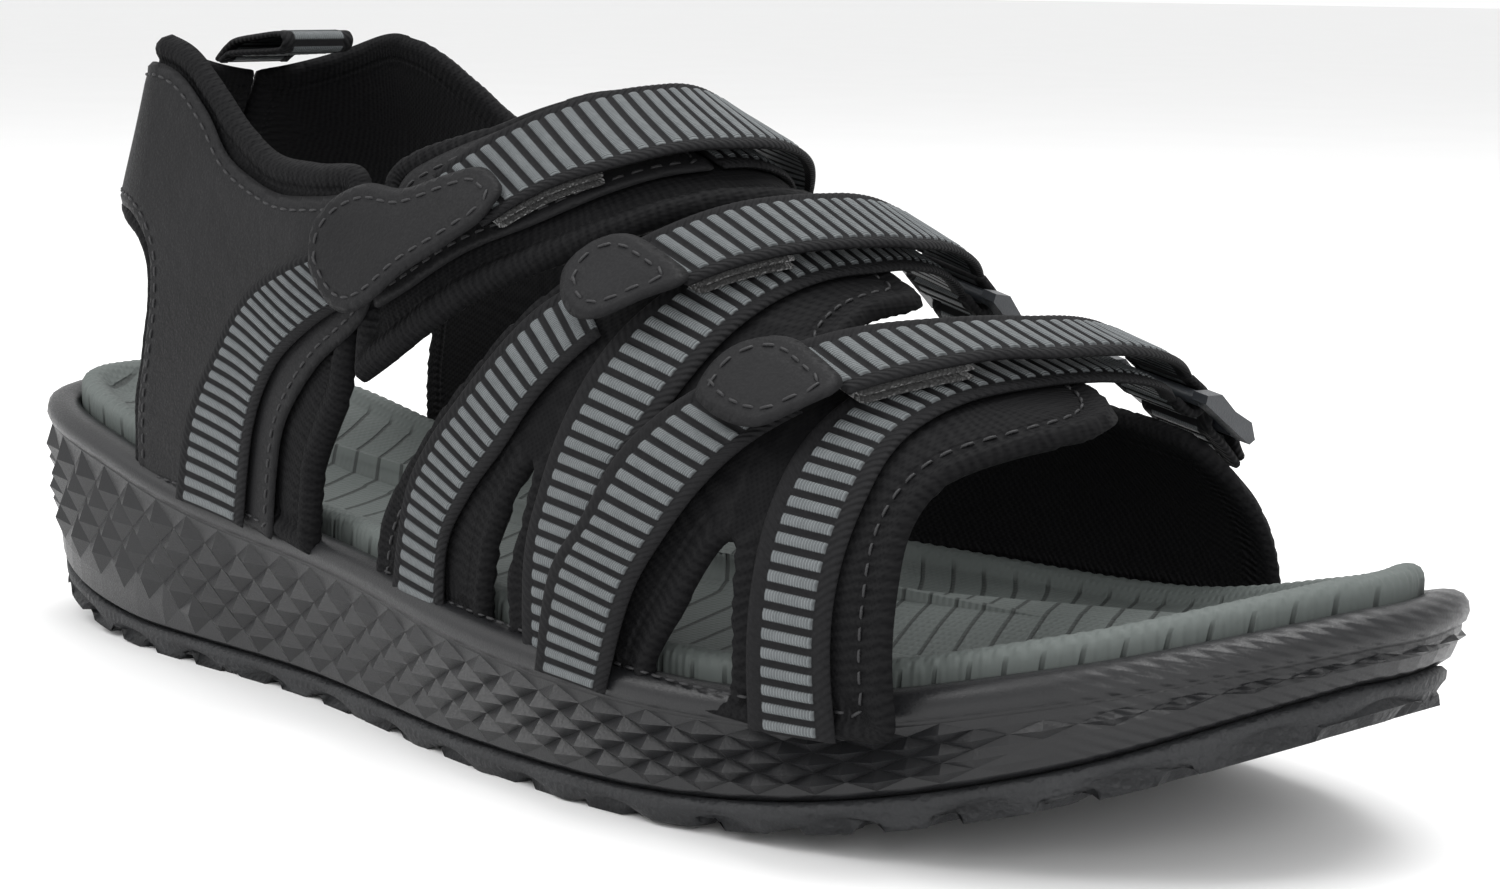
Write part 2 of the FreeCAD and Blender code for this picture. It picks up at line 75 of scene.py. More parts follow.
def smooth(x, xs, ys):
    """A smooth curve through the stations, for arrays."""
    xs, ys = np.array(xs, float), np.array(ys, float)
    x = np.clip(x, xs[0], xs[-1])
    i = np.clip(np.searchsorted(xs, x, side="right") - 1, 0, len(xs) - 2)
    lo, hi = np.maximum(np.arange(len(xs)) - 1, 0), np.minimum(np.arange(len(xs)) + 1, len(xs) - 1)
    slope = (ys[hi] - ys[lo]) / (xs[hi] - xs[lo])
    h = xs[i + 1] - xs[i]
    t = (x - xs[i]) / h
    rise = (1 + 2 * t) * (1 - t) ** 2 * ys[i] + t * t * (3 - 2 * t) * ys[i + 1]
    return rise + h * t * (1 - t) * ((1 - t) * slope[i] - t * slope[i + 1])


HEEL_R = float(smooth(HEEL_X, STATION, HALF))
HEEL_ARC = math.pi * HEEL_R
INNER_U = HEEL_X - HEEL_ARC


def section(u, t):
    x = u if u >= HEEL_X else max(HEEL_X, INNER_U + HEEL_X - u)
    turn = min(1.0, max(0.0, (HEEL_X - u) / HEEL_ARC))
    yc, w, zb, zt = (float(smooth(x, STATION, a)) for a in (MIDDLE, HALF, BASE, TOP))
    power = np.where(t > 0.5, INNER_POWER, OUTER_POWER + (INNER_POWER - OUTER_POWER) * turn)
    c = np.cos(np.pi * t)
    out = np.sign(c) * np.abs(c) ** (2 / power) * w
    z = zb + (zt - zb) * np.maximum(0, np.sin(np.pi * t)) ** (2 / power)
    lean = np.clip((z - 66) / 46, 0, 1)
    lean = 1 - 0.55 * lean * lean * (3 - 2 * lean)
    phi = math.pi * turn
    back = out * math.sin(phi) * lean if 0 < turn < 1 else 0 * out
    return np.stack([x - back, yc - out * math.cos(phi), z], -1)


U_GRID = np.arange(-312, 124, 1.0)
S_GRID = np.arange(-12, 230, 1.0)


def build_chart():
    """The foot surface and its normals on a grid of place u and arc height s."""
    points = np.zeros((len(U_GRID), len(S_GRID), 3))
    totals = np.zeros(len(U_GRID))
    for i, u in enumerate(U_GRID):
        p = section(u, np.linspace(0, 1 if u >= HEEL_X else 0.5, 241))
        length = np.concatenate([[0], np.cumsum(np.linalg.norm(np.diff(p, axis=0), axis=1))])
        totals[i] = length[-1]
        s = np.clip(S_GRID, 0, length[-1])
        for k in range(3):
            points[i, :, k] = np.interp(s, length, p[:, k])
        points[i, :, 2] += np.minimum(S_GRID, 0) - np.maximum(S_GRID - length[-1], 0)
    du = np.gradient(points, axis=0)
    ds = np.gradient(points, axis=1)
    normals = np.cross(du, ds)
    size = np.linalg.norm(normals, axis=2, keepdims=True)
    return points, normals / np.maximum(size, 1e-9), totals


CHART, NORMALS, TOTALS = build_chart()


def total(u):
    return float(np.interp(u, U_GRID, TOTALS))


def sample(field, uv):
    i = np.clip(uv[:, 0] - U_GRID[0], 0, len(U_GRID) - 1.001)
    j = np.clip(uv[:, 1] - S_GRID[0], 0, len(S_GRID) - 1.001)
    a, b = i.astype(int), j.astype(int)
    p, q = (i - a)[:, None], (j - b)[:, None]
    return ((field[a, b] * (1 - p) + field[a + 1, b] * p) * (1 - q)
            + (field[a, b + 1] * (1 - p) + field[a + 1, b + 1] * p) * q)


def over(uv, high):
    """Points of the foot at (u, s), lifted straight out by high, in millimetres."""
    uv = np.asarray(uv, float).reshape(-1, 2)
    n = sample(NORMALS, uv)
    n /= np.maximum(np.linalg.norm(n, axis=1, keepdims=True), 1e-9)
    return sample(CHART, uv) + n * np.broadcast_to(np.asarray(high, float).reshape(-1, 1),
                                                   (len(uv), 1))


def outer_s(p):
    """(u, s) from the outer base; s under -30 counts from the inner base."""
    return (p[0], total(p[0]) + p[1]) if p[1] < -30 else (float(p[0]), float(p[1]))


def from_inner_base(points):
    return [(u, total(u) - s) for u, s in points]


def inner_side(points):
    return [(INNER_U + HEEL_X - u, s) for u, s in points]


def curve_through(points):
    """A smooth line over the foot through the given places."""
    return smooth_line([outer_s(p) for p in points])


def smooth_line(points, closed=False, per=8):
    """A smooth line through plain points, as an array."""
    pts = np.array(points, float)
    n = len(pts)
    out = []
    for i in range(n if closed else n - 1):
        if closed:
            p0, p1, p2, p3 = pts[i - 1], pts[i], pts[(i + 1) % n], pts[(i + 2) % n]
        else:
            p0, p1, p2, p3 = pts[max(i - 1, 0)], pts[i], pts[i + 1], pts[min(i + 2, n - 1)]
        for k in range(per):
            t = k / per
            out.append(0.5 * (2 * p1 + (p2 - p0) * t + (2 * p0 - 5 * p1 + 4 * p2 - p3) * t * t
                              + (3 * p1 - p0 - 3 * p2 + p3) * t ** 3))
    if not closed:
        out.append(pts[-1])
    return np.array(out)


def even(line, count=None, step=None, closed=False):
    """The same line with evenly spaced points."""
    if closed:
        line = np.vstack([line, line[:1]])
    length = np.concatenate([[0], np.cumsum(np.linalg.norm(np.diff(line, axis=0), axis=1))])
    n = count or max(3, int(round(length[-1] / step)))
    at = np.linspace(0, length[-1], n + 1)
    if closed:
        at = at[:-1]
    return np.stack([np.interp(at, length, line[:, k]) for k in range(line.shape[1])], -1)


# ---- meshes ----------------------------------------------------------------------------------
def make(name, verts, faces, material, uv=None, smooth_faces=True, attributes=None):
    """A mesh object in metres from millimetre points."""
    mesh = bpy.data.meshes.new(name)
    mesh.from_pydata((np.asarray(verts) * MM).tolist(), [], faces)
    mesh.validate()
    if uv is not None:
        layer = mesh.uv_layers.new(name="UVMap")
        index = np.zeros(len(mesh.loops), np.int32)
        mesh.loops.foreach_get("vertex_index", index)
        layer.data.foreach_set("uv", np.asarray(uv, np.float32)[index].ravel())
    for key, values in (attributes or {}).items():
        data = mesh.attributes.new(key, "FLOAT", "POINT")
        data.data.foreach_set("value", np.asarray(values, np.float32))
    mesh.polygons.foreach_set("use_smooth", [smooth_faces] * len(mesh.polygons))
    mesh.materials.append(material)
    obj = bpy.data.objects.new(name, mesh)
    bpy.context.scene.collection.objects.link(obj)
    return obj


def grid_faces(rows, cols, offset=0, flip=False, wrap=False):
    out = []
    for i in range(rows if wrap else rows - 1):
        for j in range(cols - 1):
            a, b = offset + i * cols + j, offset + ((i + 1) % rows) * cols + j
            quad = (a, b, b + 1, a + 1)
            out.append(quad[::-1] if flip else quad)
    return out


def settle(obj, body, slot, *nodes, blend=None):
    """Hides the CAD nodes a finished piece stands for and puts the piece under its body; with blend
    it only bakes the piece's place into its mesh. The slot is not used.
    """
    if nodes:
        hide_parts(*nodes)
    if blend:
        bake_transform(obj)
    else:
        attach(obj, body)
    return obj


def edge_distance(points, loops):
    """Distance to the nearest border and the place along that border, for each point."""
    best = np.full(len(points), 1e9)
    place = np.zeros(len(points))
    run = 0.0
    for loop in loops:
        a, b = loop, np.roll(loop, -1, axis=0)
        seg = b - a
        size = np.maximum(np.linalg.norm(seg, axis=1), 1e-9)
        start = run + np.concatenate([[0], np.cumsum(size)[:-1]])
        run += size.sum()
        for k in range(0, len(points), 4000):
            p = points[k:k + 4000]
            t = np.clip(((p[:, None] - a) * seg).sum(-1) / size ** 2, 0, 1)
            d = np.linalg.norm(p[:, None] - (a + seg * t[..., None]), axis=-1)
            i = d.argmin(1)
            rows = np.arange(len(p))
            closer = d[rows, i] < best[k:k + 4000]
            best[k:k + 4000] = np.where(closer, d[rows, i], best[k:k + 4000])
            place[k:k + 4000] = np.where(closer, start[i] + t[rows, i] * size[i],
                                         place[k:k + 4000])
    return best, place


def inside(points, loop):
    x, y = points[:, 0][:, None], points[:, 1][:, None]
    a, b = loop, np.roll(loop, -1, axis=0)
    crosses = (a[:, 1] > y) != (b[:, 1] > y)
    at = a[:, 0] + (y - a[:, 1]) / np.where(b[:, 1] == a[:, 1], 1e-9, b[:, 1] - a[:, 1]) \
        * (b[:, 0] - a[:, 0])
    return (crosses & (x < at)).sum(1) % 2 == 1


def sheet_mesh(name, outline, layer, material, holes=(), step=1.6, edge=1.2, relief=None):
    """A padded or plain sheet over the foot, closed, with rounded edges.
    relief(uv, distance, place) may add height to its outer side."""
    loops = [even(l, step=step * 0.8, closed=True) for l in (outline, *holes)]
    lo, hi = loops[0].min(0), loops[0].max(0)
    ys = np.arange(lo[1], hi[1], step * 0.87)
    inner = np.array([(x + (0.5 * step if r % 2 else 0), y)
                      for r, y in enumerate(ys) for x in np.arange(lo[0], hi[0], step)])
    keep = inside(inner, loops[0])
    for hole in loops[1:]:
        keep &= ~inside(inner, hole)
    inner = inner[keep]
    inner = inner[edge_distance(inner, loops)[0] > step * 0.55]
    points = np.vstack([*loops, inner])
    edges, at = [], 0
    for loop in loops:
        n = len(loop)
        edges += [(at + i, at + (i + 1) % n) for i in range(n)]
        at += n
    verts, _, tris, *_ = delaunay_2d_cdt([Vector(p) for p in points], edges, [], 0, 1e-5)
    points = np.array([tuple(v) for v in verts])
    tris = np.array([t for t in tris if len(t) == 3])
    middle = points[tris].mean(1)
    good = inside(middle, loops[0])
    for hole in loops[1:]:
        good &= ~inside(middle, hole)
    tris = tris[good]
    distance, place = edge_distance(points, loops)
    distance[distance < step * 0.3] = 0
    low, high = layer
    mid = (low + high) / 2
    round_off = np.sqrt(np.clip(1 - (1 - np.clip(distance / edge, 0, 1)) ** 2, 0, 1))
    extra = relief(points, distance, place) if relief else 0
    outer = over(points, mid + (high - mid) * round_off + extra * round_off)
    under = over(points, mid + (low - mid) * round_off)
    n = len(points)
    border = distance == 0
    index = np.where(border, np.arange(n), np.arange(n) + n)
    flat = points[tris]
    turn = ((flat[:, 1] - flat[:, 0])[:, 0] * (flat[:, 2] - flat[:, 0])[:, 1]
            - (flat[:, 1] - flat[:, 0])[:, 1] * (flat[:, 2] - flat[:, 0])[:, 0]) > 0
    tris[~turn] = tris[~turn][:, ::-1]
    faces = [tuple(t) for t in tris.tolist()]
    faces += [tuple(index[t][::-1].tolist()) for t in tris]
    verts = np.vstack([outer, under])
    used = np.zeros(2 * n, bool)
    used[np.array(faces).ravel()] = True
    renumber = np.cumsum(used) - 1
    faces = [tuple(renumber[list(f)].tolist()) for f in faces]
    uv = np.vstack([points, points])[used]
    far = {"edge_d": np.concatenate([distance, distance])[used],
           "edge_l": np.concatenate([place, place])[used]}
    return make(name, verts[used], faces, material, uv, True, far)


RIB = 2.6               # webbing: pitch of the ribs, and the plain braided edge's width
BRAID = 2.4


def webbing(name, rear, front, layer, material, braid=BRAID):
    """Ribbed webbing between two edge lines of (u, s) points, as a closed strip."""
    p, q = (even(curve_through(e), count=400) for e in (rear, front))
    centre = over((p + q) / 2, layer[1])
    length = float(np.linalg.norm(np.diff(centre, axis=0), axis=1).sum())
    rows = int(length / RIB * 7) + 1
    width = float(np.linalg.norm(over(p[200:201], 4) - over(q[200:201], 4)))
    at = np.linspace(0, 1, rows) * 400
    lower = np.minimum(at.astype(int), 399)
    f = (at - lower)[:, None]
    left, right = p[lower] * (1 - f) + p[lower + 1] * f, q[lower] * (1 - f) + q[lower + 1] * f
    share = np.concatenate([[0, 0.25, 0.5, 0.75], [1, 1.08],
                            np.linspace(1.3, width / braid - 1.3, 7),
                            [width / braid - 1.08, width / braid - 1],
                            width / braid - np.array([0.75, 0.5, 0.25, 0])]) * braid / width
    across = share * width
    along = np.linspace(0, length, rows)
    uv = left[:, None] * (1 - share[:, None]) + right[:, None] * share[:, None]
    x, y = np.meshgrid(across, along)
    edge = np.minimum(x, width - x)
    phase = (y / RIB) % 1.0
    rib = np.sqrt(np.clip(1 - ((phase - 0.5) / 0.36) ** 2, 0, 1))
    field = np.clip((edge - braid) / 0.25, 0, 1)
    shift = np.where(edge < braid / 2, 0, math.pi / 2)
    weave = 0.10 * np.abs(np.sin(y / RIB * 2 * math.pi + shift))
    cord = np.clip(np.sin(np.pi * np.clip(edge / braid, 0, 1)), 0, 1) * 0.25
    high = layer[1] - 0.45 + (0.55 * rib) * field + (cord + weave) * (1 - field)
    ends = np.clip(np.minimum(y, length - y) / 0.6, 0, 1)
    rounded = np.sqrt(np.clip(1 - (1 - np.clip(edge / 0.5, 0, 1)) ** 2, 0, 1)) * np.sqrt(ends)
    mid = (layer[0] + layer[1]) / 2
    top = over(uv.reshape(-1, 2), (mid + (high - mid) * (0.25 + 0.75 * rounded)).ravel())
    low = over(uv.reshape(-1, 2), (mid + (layer[0] - mid) * (0.25 + 0.75 * rounded)).ravel())
    return strip_object(name, top, low, rows, len(share), x, y, width, material)


def strip_object(name, top, low, rows, cols, x, y, width, material):
    """Closes a strip's two sides and stores its weave coordinates."""
    faces = grid_faces(rows, cols) + grid_faces(rows, cols, rows * cols, True)
    n = rows * cols
    for i in range(rows - 1):
        a, b = i * cols, (i + 1) * cols
        faces.append((a + n, b + n, b, a))
        faces.append((a + cols - 1, b + cols - 1, b + n + cols - 1, a + n + cols - 1))
    for j in range(cols - 1):
        faces.append((j, j + 1, j + 1 + n, j + n))
        e = (rows - 1) * cols + j
        faces.append((e + n, e + n + 1, e + 1, e))
    uv = np.stack([x.ravel(), y.ravel()], -1)
    edge = np.minimum(x, width - x).ravel()
    verts = np.vstack([top, low])
    # orient outward: compare the first top face with the thickness direction
    a, b, c = (verts[k] for k in faces[cols // 2][:3])
    outward = np.dot(np.cross(b - a, c - b), top[cols // 2] - low[cols // 2]) > 0
    if not outward:
        faces = [f[::-1] for f in faces]
    return make(name, verts, faces, material, np.vstack([uv, uv]), True,
                {"edge_d": np.concatenate([edge, edge])})


# ---- materials -------------------------------------------------------------------------------
class Nodes:
    """A short way to wire a procedural material."""

    def __init__(self, name, colour, rough, **settings):
        self.material = bpy.data.materials.new(name)
        self.material.use_nodes = True
        self.tree = self.material.node_tree
        self.shader = self.tree.nodes["Principled BSDF"]
        self.shader.inputs["Base Color"].default_value = (*colour, 1)
        self.shader.inputs["Roughness"].default_value = rough
        for key, value in settings.items():
            self.shader.inputs[key.replace("_", " ")].default_value = value

    def add(self, kind, output=0, inputs=(), **settings):
        node = self.tree.nodes.new(kind)
        for key, value in settings.items():
            setattr(node, key, value)
        for key, value in dict(inputs).items():
            self.feed(node.inputs[key], value)
        return node.outputs[output]

    def feed(self, socket, value):
        if isinstance(value, bpy.types.NodeSocket):
            self.tree.links.new(value, socket)
        elif isinstance(value, tuple) and len(value) == 3 and socket.type == "RGBA":
            socket.default_value = (*value, 1)
        else:
            socket.default_value = value

    def math(self, operation, a, b=0.0, clamp=False):
        return self.add("ShaderNodeMath", 0, {0: a, 1: b}, operation=operation, use_clamp=clamp)

    def place(self):
        """Object position in millimetres."""
        at = self.add("ShaderNodeTexCoord", "Object")
        return self.add("ShaderNodeVectorMath", 0, {0: at, 1: (1000, 1000, 1000)},
                        operation="MULTIPLY")

    def stored(self, name):
        return self.add("ShaderNodeAttribute", "Fac", attribute_name=name)

    def split(self, vector):
        node = self.tree.nodes.new("ShaderNodeSeparateXYZ")
        self.tree.links.new(vector, node.inputs[0])
        return node.outputs

    def noise(self, vector, scale, detail=3.0):
        return self.add("ShaderNodeTexNoise", "Fac",
                        {"Vector": vector, "Scale": scale, "Detail": detail})

    def step(self, value, low, high, out_low=0.0, out_high=1.0):
        return self.add("ShaderNodeMapRange", 0,
                        {0: value, 1: low, 2: high, 3: out_low, 4: out_high},
                        interpolation_type="SMOOTHSTEP")

    def mix(self, factor, a, b):
        node = self.tree.nodes.new("ShaderNodeMix")
        node.data_type = "RGBA"
        for index, value in ((0, factor), (6, a), (7, b)):
            self.feed(node.inputs[index], value)
        return node.outputs[2]

    def wave(self, value, pitch):
        """0 to 1 and back over each pitch."""
        turn = self.math("MULTIPLY", value, 2 * math.pi / pitch)
        return self.math("MULTIPLY_ADD", self.math("SINE", turn), 0.5)

    def bump(self, height, distance=0.0003, strength=1.0, below=None):
        inputs = {"Height": height, "Distance": distance, "Strength": strength}
        if below is not None:
            inputs["Normal"] = below
        return self.add("ShaderNodeBump", 0, inputs)

    def finish(self, colour=None, rough=None, normal=None):
        for key, value in (("Base Color", colour), ("Roughness", rough), ("Normal", normal)):
            if value is not None:
                self.tree.links.new(value, self.shader.inputs[key])
        return self.material


def webbing_material():
    """Black webbing with satin grey ribs between braided edges."""
    m = Nodes("ribbed_webbing", (0.02, 0.02, 0.021), 0.6, Specular_IOR_Level=0.15)
    uv = m.add("ShaderNodeTexCoord", "UV")
    x, y, _ = m.split(uv)
    edge = m.stored("edge_d")
    phase = m.math("FRACT", m.math("DIVIDE", y, RIB))
    off = m.math("ABSOLUTE", m.math("SUBTRACT", phase, 0.5))
    field = m.step(edge, BRAID - 0.1, BRAID + 0.2)
    rib = m.math("MULTIPLY", m.step(off, 0.33, 0.25), field)
    place = m.place()
    tone = m.noise(place, 0.5, 2)
    grey = m.mix(tone, (0.11, 0.121, 0.125), (0.19, 0.204, 0.21))
    thread = m.wave(x, 0.42)
    grey = m.mix(m.math("MULTIPLY", thread, 0.45), grey, (0.03, 0.033, 0.036))
    black = m.mix(m.noise(place, 1.5), (0.003, 0.003, 0.0035), (0.012, 0.012, 0.013))
    braid = m.wave(m.math("ADD", y, m.math("MULTIPLY", edge, 0.9)), RIB / 2)
    height = m.math("ADD", m.math("MULTIPLY", thread, rib),
                    m.math("MULTIPLY", braid, m.math("SUBTRACT", 1.0, field)))
    return m.finish(m.mix(rib, black, grey), m.step(rib, 0, 1, 0.8, 0.42),
                    m.bump(height, 0.00022, 0.9))


def microfibre_material():
    m = Nodes("microfibre", (0.01, 0.01, 0.011), 0.58, Specular_IOR_Level=0.13)
    place = m.place()
    grain = m.add("ShaderNodeTexVoronoi", "Distance", {"Vector": place, "Scale": 1.6},
                  feature="SMOOTH_F1")
    fine = m.noise(place, 2.5, 6)
    cloud = m.noise(place, 0.06, 3)
    colour = m.mix(cloud, (0.006, 0.006, 0.0065), (0.012, 0.012, 0.013))
    low = m.bump(m.noise(place, 0.22, 3), 0.0007, 0.35)
    return m.finish(colour, m.step(fine, 0.3, 0.7, 0.5, 0.68),
                    m.bump(m.math("ADD", grain, fine), 0.00012, 0.55, low))


def lining_material():
    """Black stretch knit, gathered in fine puckers along its bound edges."""
    m = Nodes("stretch_knit", (0.012, 0.012, 0.013), 0.8, Specular_IOR_Level=0.08)
    place = m.place()
    x, y, z = m.split(place)
    knit = m.math("MULTIPLY", m.wave(m.math("ADD", x, m.math("MULTIPLY", z, 0.7)), 0.9),
                  m.wave(m.math("SUBTRACT", z, m.math("MULTIPLY", x, 0.7)), 0.9))
    edge, run = m.stored("edge_d"), m.stored("edge_l")
    wobble = m.math("MULTIPLY", m.noise(place, 0.3), 2.0)
    pucker = m.wave(m.math("ADD", run, wobble), 1.5)
    near = m.step(m.math("ABSOLUTE", m.math("SUBTRACT", edge, 4.4)), 2.2, 0.6)
    seam = m.step(m.math("ABSOLUTE", m.math("SUBTRACT", edge, 4.6)), 0.7, 0.1)
    height = m.math("ADD", m.math("MULTIPLY", pucker, near), m.math("MULTIPLY", knit, 0.25))
    height = m.math("SUBTRACT", height, m.math("MULTIPLY", seam, 0.9))
    # the tone follows the pucker wave: painted shade in the pucker troughs, with random tone from
    # the noise
    tone = m.math("MULTIPLY", m.math("ADD", pucker, m.noise(place, 0.8)), 0.5)
    colour = m.mix(tone, (0.0025, 0.0025, 0.003), (0.009, 0.009, 0.0095))
    return m.finish(colour, m.step(knit, 0, 1, 0.72, 0.9), m.bump(height, 0.0004, 0.6))


def foam_material():
    """Moulded black midsole foam, satin, with a finely ribbed toe."""
    m = Nodes("moulded_foam", (0.02, 0.02, 0.022), 0.4, Specular_IOR_Level=0.35)
    place = m.place()
    x, y, z = m.split(place)
    fine = m.noise(place, 3.0, 4)
    cloud = m.noise(place, 0.05, 3)
    toe = m.step(x, 112, 122)
    side = m.math("ADD", m.math("MULTIPLY", z, 1.0), m.math("MULTIPLY", y, 0.35))
    ribs = m.math("MULTIPLY", m.wave(side, 1.5), toe)
    colour = m.mix(cloud, (0.006, 0.006, 0.007), (0.012, 0.0125, 0.0135))
    height = m.math("ADD", m.math("MULTIPLY", fine, 0.35), ribs)
    return m.finish(colour, m.step(fine, 0.3, 0.7, 0.32, 0.46), m.bump(height, 0.00025, 0.6))


def rubber_material():
    m = Nodes("tread_rubber", (0.03, 0.031, 0.034), 0.55, Specular_IOR_Level=0.3)
    place = m.place()
    dots = m.add("ShaderNodeTexVoronoi", "Distance", {"Vector": place, "Scale": 0.55,
                                                      "Randomness": 0.25})
    fine = m.noise(place, 2.2, 5)
    dust = m.noise(place, 0.08, 4)
    colour = m.mix(dust, (0.010, 0.0105, 0.0115), (0.024, 0.025, 0.027))
    return m.finish(colour, m.step(fine, 0.3, 0.7, 0.48, 0.66),
                    m.bump(m.math("ADD", m.step(dots, 0.2, 0.5), fine), 0.00025, 0.6))


def footbed_material():
    """Grey-green foam: thin diagonal grooves over a fine mesh, and a roped edge."""
    m = Nodes("footbed_foam", (0.17, 0.19, 0.18), 0.78)
    place = m.place()
    x, y, z = m.split(place)
    rope = m.stored("rope")
    slant = m.math("ADD", x, m.math("MULTIPLY", y, 0.55))
    bend = m.math("MULTIPLY", m.noise(place, 0.012, 1), 26.0)
    line = m.step(m.wave(m.math("ADD", slant, bend), 6.2), 0.93, 0.995)
    flat = m.math("SUBTRACT", 1.0, rope)
    groove = m.math("MULTIPLY", line, flat)
    mesh = m.math("MULTIPLY", m.wave(x, 1.3), m.wave(y, 1.3))
    tone = m.noise(place, 0.03, 3)
    colour = m.mix(tone, (0.066, 0.078, 0.074), (0.098, 0.111, 0.106))
    # the grooves are also painted darker: painted shade in the grooves
    colour = m.mix(m.math("MULTIPLY", groove, 0.8), colour, (0.012, 0.015, 0.014))
    height = m.math("SUBTRACT", m.math("MULTIPLY", mesh, 0.3), groove)
    return m.finish(colour, m.step(tone, 0.3, 0.7, 0.7, 0.85), m.bump(height, 0.0005, 0.8))


def plastic_material():
    m = Nodes("moulded_nylon", (0.05, 0.056, 0.062), 0.42)
    place = m.place()
    fine = m.noise(place, 3.0, 4)
    colour = m.mix(m.noise(place, 0.2), (0.018, 0.021, 0.025), (0.034, 0.038, 0.044))
    return m.finish(colour, m.step(fine, 0.3, 0.7, 0.34, 0.5), m.bump(fine, 0.0001, 0.5))


def tape_material():
    m = Nodes("hook_and_loop_pile", (0.012, 0.012, 0.012), 0.92, Sheen_Weight=0.4)
    place = m.place()
    pile = m.add("ShaderNodeTexVoronoi", "Distance", {"Vector": place, "Scale": 1.8})
    colour = m.mix(pile, (0.022, 0.022, 0.022), (0.006, 0.006, 0.006))
    return m.finish(colour, m.step(pile, 0, 0.6, 0.85, 0.98), m.bump(pile, 0.0004, 0.9))


def thread_material():
    m = Nodes("sewing_thread", (0.02, 0.02, 0.021), 0.5, Specular_IOR_Level=0.3)
    place = m.place()
    twist = m.noise(place, 4.0, 2)
    colour = m.mix(twist, (0.008, 0.008, 0.0085), (0.026, 0.026, 0.028))
    return m.finish(colour, m.step(twist, 0.3, 0.7, 0.42, 0.6), m.bump(twist, 0.0001, 0.6))


def board_material():
    m = Nodes("fibre_board", (0.3, 0.28, 0.25), 0.9)
    place = m.place()
    fibre = m.noise(place, 0.8, 5)
    return m.finish(m.mix(fibre, (0.24, 0.22, 0.19), (0.34, 0.32, 0.28)), None,
                    m.bump(fibre, 0.0002, 0.5))


WEBBING, MICROFIBRE, LINING = webbing_material(), microfibre_material(), lining_material()
FOAM, RUBBER, FOOTBED = foam_material(), rubber_material(), footbed_material()
PLASTIC, TAPE, THREAD = plastic_material(), tape_material(), thread_material()

# ---- the sole --------------------------------------------------------------------------------
OUTLINE_LINE = smooth_line(OUTLINE, closed=True, per=40)
MIDSOLE_COLUMNS, OUTSOLE_COLUMNS, FOOTBED_COLUMNS = 140, 640, 1300
AROUND = 704            # length of the sole's outline


def sole_rings(columns):
    """Evenly spaced outline points with their outward directions and places."""
    line = even(OUTLINE_LINE, count=columns, closed=True)
    tangent = np.roll(line, -1, 0) - np.roll(line, 1, 0)
    tangent /= np.linalg.norm(tangent, axis=1, keepdims=True)
    outward = np.stack([-tangent[:, 1], tangent[:, 0]], -1)
    if (outward * line).sum() < 0:
        outward = -outward
    return line, outward


def spine(line):
    """The sole's long middle line, for closing surfaces inwards."""
    x = np.clip(line[:, 0], -112, 108)
    return np.stack([x, smooth(x, [-112, -30, 40, 108], [-3, -3, -1, 2])], -1)


def ring_at(line, outward, inset, z):
    return np.column_stack([line - outward * np.reshape(inset, (-1, 1)), z])


def profile_z(points, line):
    return smooth(line[:, 0], [p[0] for p in points], [p[1] for p in points])


def loft(name, rings, material, body, slot_name, nodes, flat_rows=(), attributes=None):
    """Joins closed rings into one skin, closed at both ends."""
    n = len(rings[0])
    verts = np.vstack(rings)
    faces, flat = [], []
    for r in range(len(rings) - 1):
        for i in range(n):
            a, b = r * n + i, r * n + (i + 1) % n
            c, d = b + n, a + n
            if r in flat_rows:
                if (r - min(flat_rows) + i) % 2:
                    pair = [(a, b, c), (a, c, d)]
                else:
                    pair = [(a, b, d), (b, c, d)]
                faces += pair
                flat += [True, True]
            else:
                faces.append((a, b, c, d))
                flat.append(False)
    for r, flip in ((0, True), (len(rings) - 1, False)):
        centre = len(verts)
        verts = np.vstack([verts, verts[r * n:(r + 1) * n].mean(0)])
        for i in range(n):
            tri = (r * n + i, r * n + (i + 1) % n, centre)
            faces.append(tri[::-1] if flip else tri)
            flat.append(False)
    if attributes:
        attributes = {k: np.concatenate([np.concatenate(v), [v[0][0], v[-1][0]]])
                      for k, v in attributes.items()}
    obj = make(name, verts, faces, material, None, True, attributes)
    obj.data.polygons.foreach_set("use_smooth", [not f for f in flat])
    return settle(obj, body, slot_name, *nodes)


def build_midsole():
    line, outward = sole_rings(MIDSOLE_COLUMNS)
    rim, tread = profile_z(RIM, line), profile_z(TREAD, line)
    x = line[:, 0]
    low, high = tread + 6.0, rim - 5.2
    rings = [ring_at(line, outward, 8.0, tread + 4.6), ring_at(line, outward, 4.2, tread + 4.6)]
    count = 7
    first = len(rings)
    toe = np.clip((x - 96) / 16, 0, 1)
    for k in range(count):
        t = k / (count - 1)
        z = low + (high - low) * t
        inset = 1.5 * (1 - t) ** 1.6 + 0.7
        apex = ((k + np.arange(len(x))) % 2 == 0) * 1.0
        ends = 1.0 if 0 < k < count - 1 else 0.0
        strength = ends * (1 - toe * (0.35 if k == count - 3 else 1.0))
        heel = np.clip((-75 - x) / 15, 0, 1) * (t < 0.3)
        strength = strength * (1 - heel)
        rings.append(ring_at(line, outward, inset - (apex * 1.9 - 0.5) * strength, z))
    flat_rows = range(first, first + count - 1)
    for inset, drop in ((0.9, 5.0), (0.1, 4.4), (-0.3, 3.2), (-0.1, 1.8), (0.7, 0.7), (2.0, 0.15),
                        (3.6, 0.1), (5.0, 0.5), (6.0, 1.6), (6.2, 7.0), (14.0, 8.6)):
        rings.append(ring_at(line, outward, inset, rim - drop))
    return loft("midsole_foam", rings, FOAM, "upper", "eva_black", ["midsole"], flat_rows)


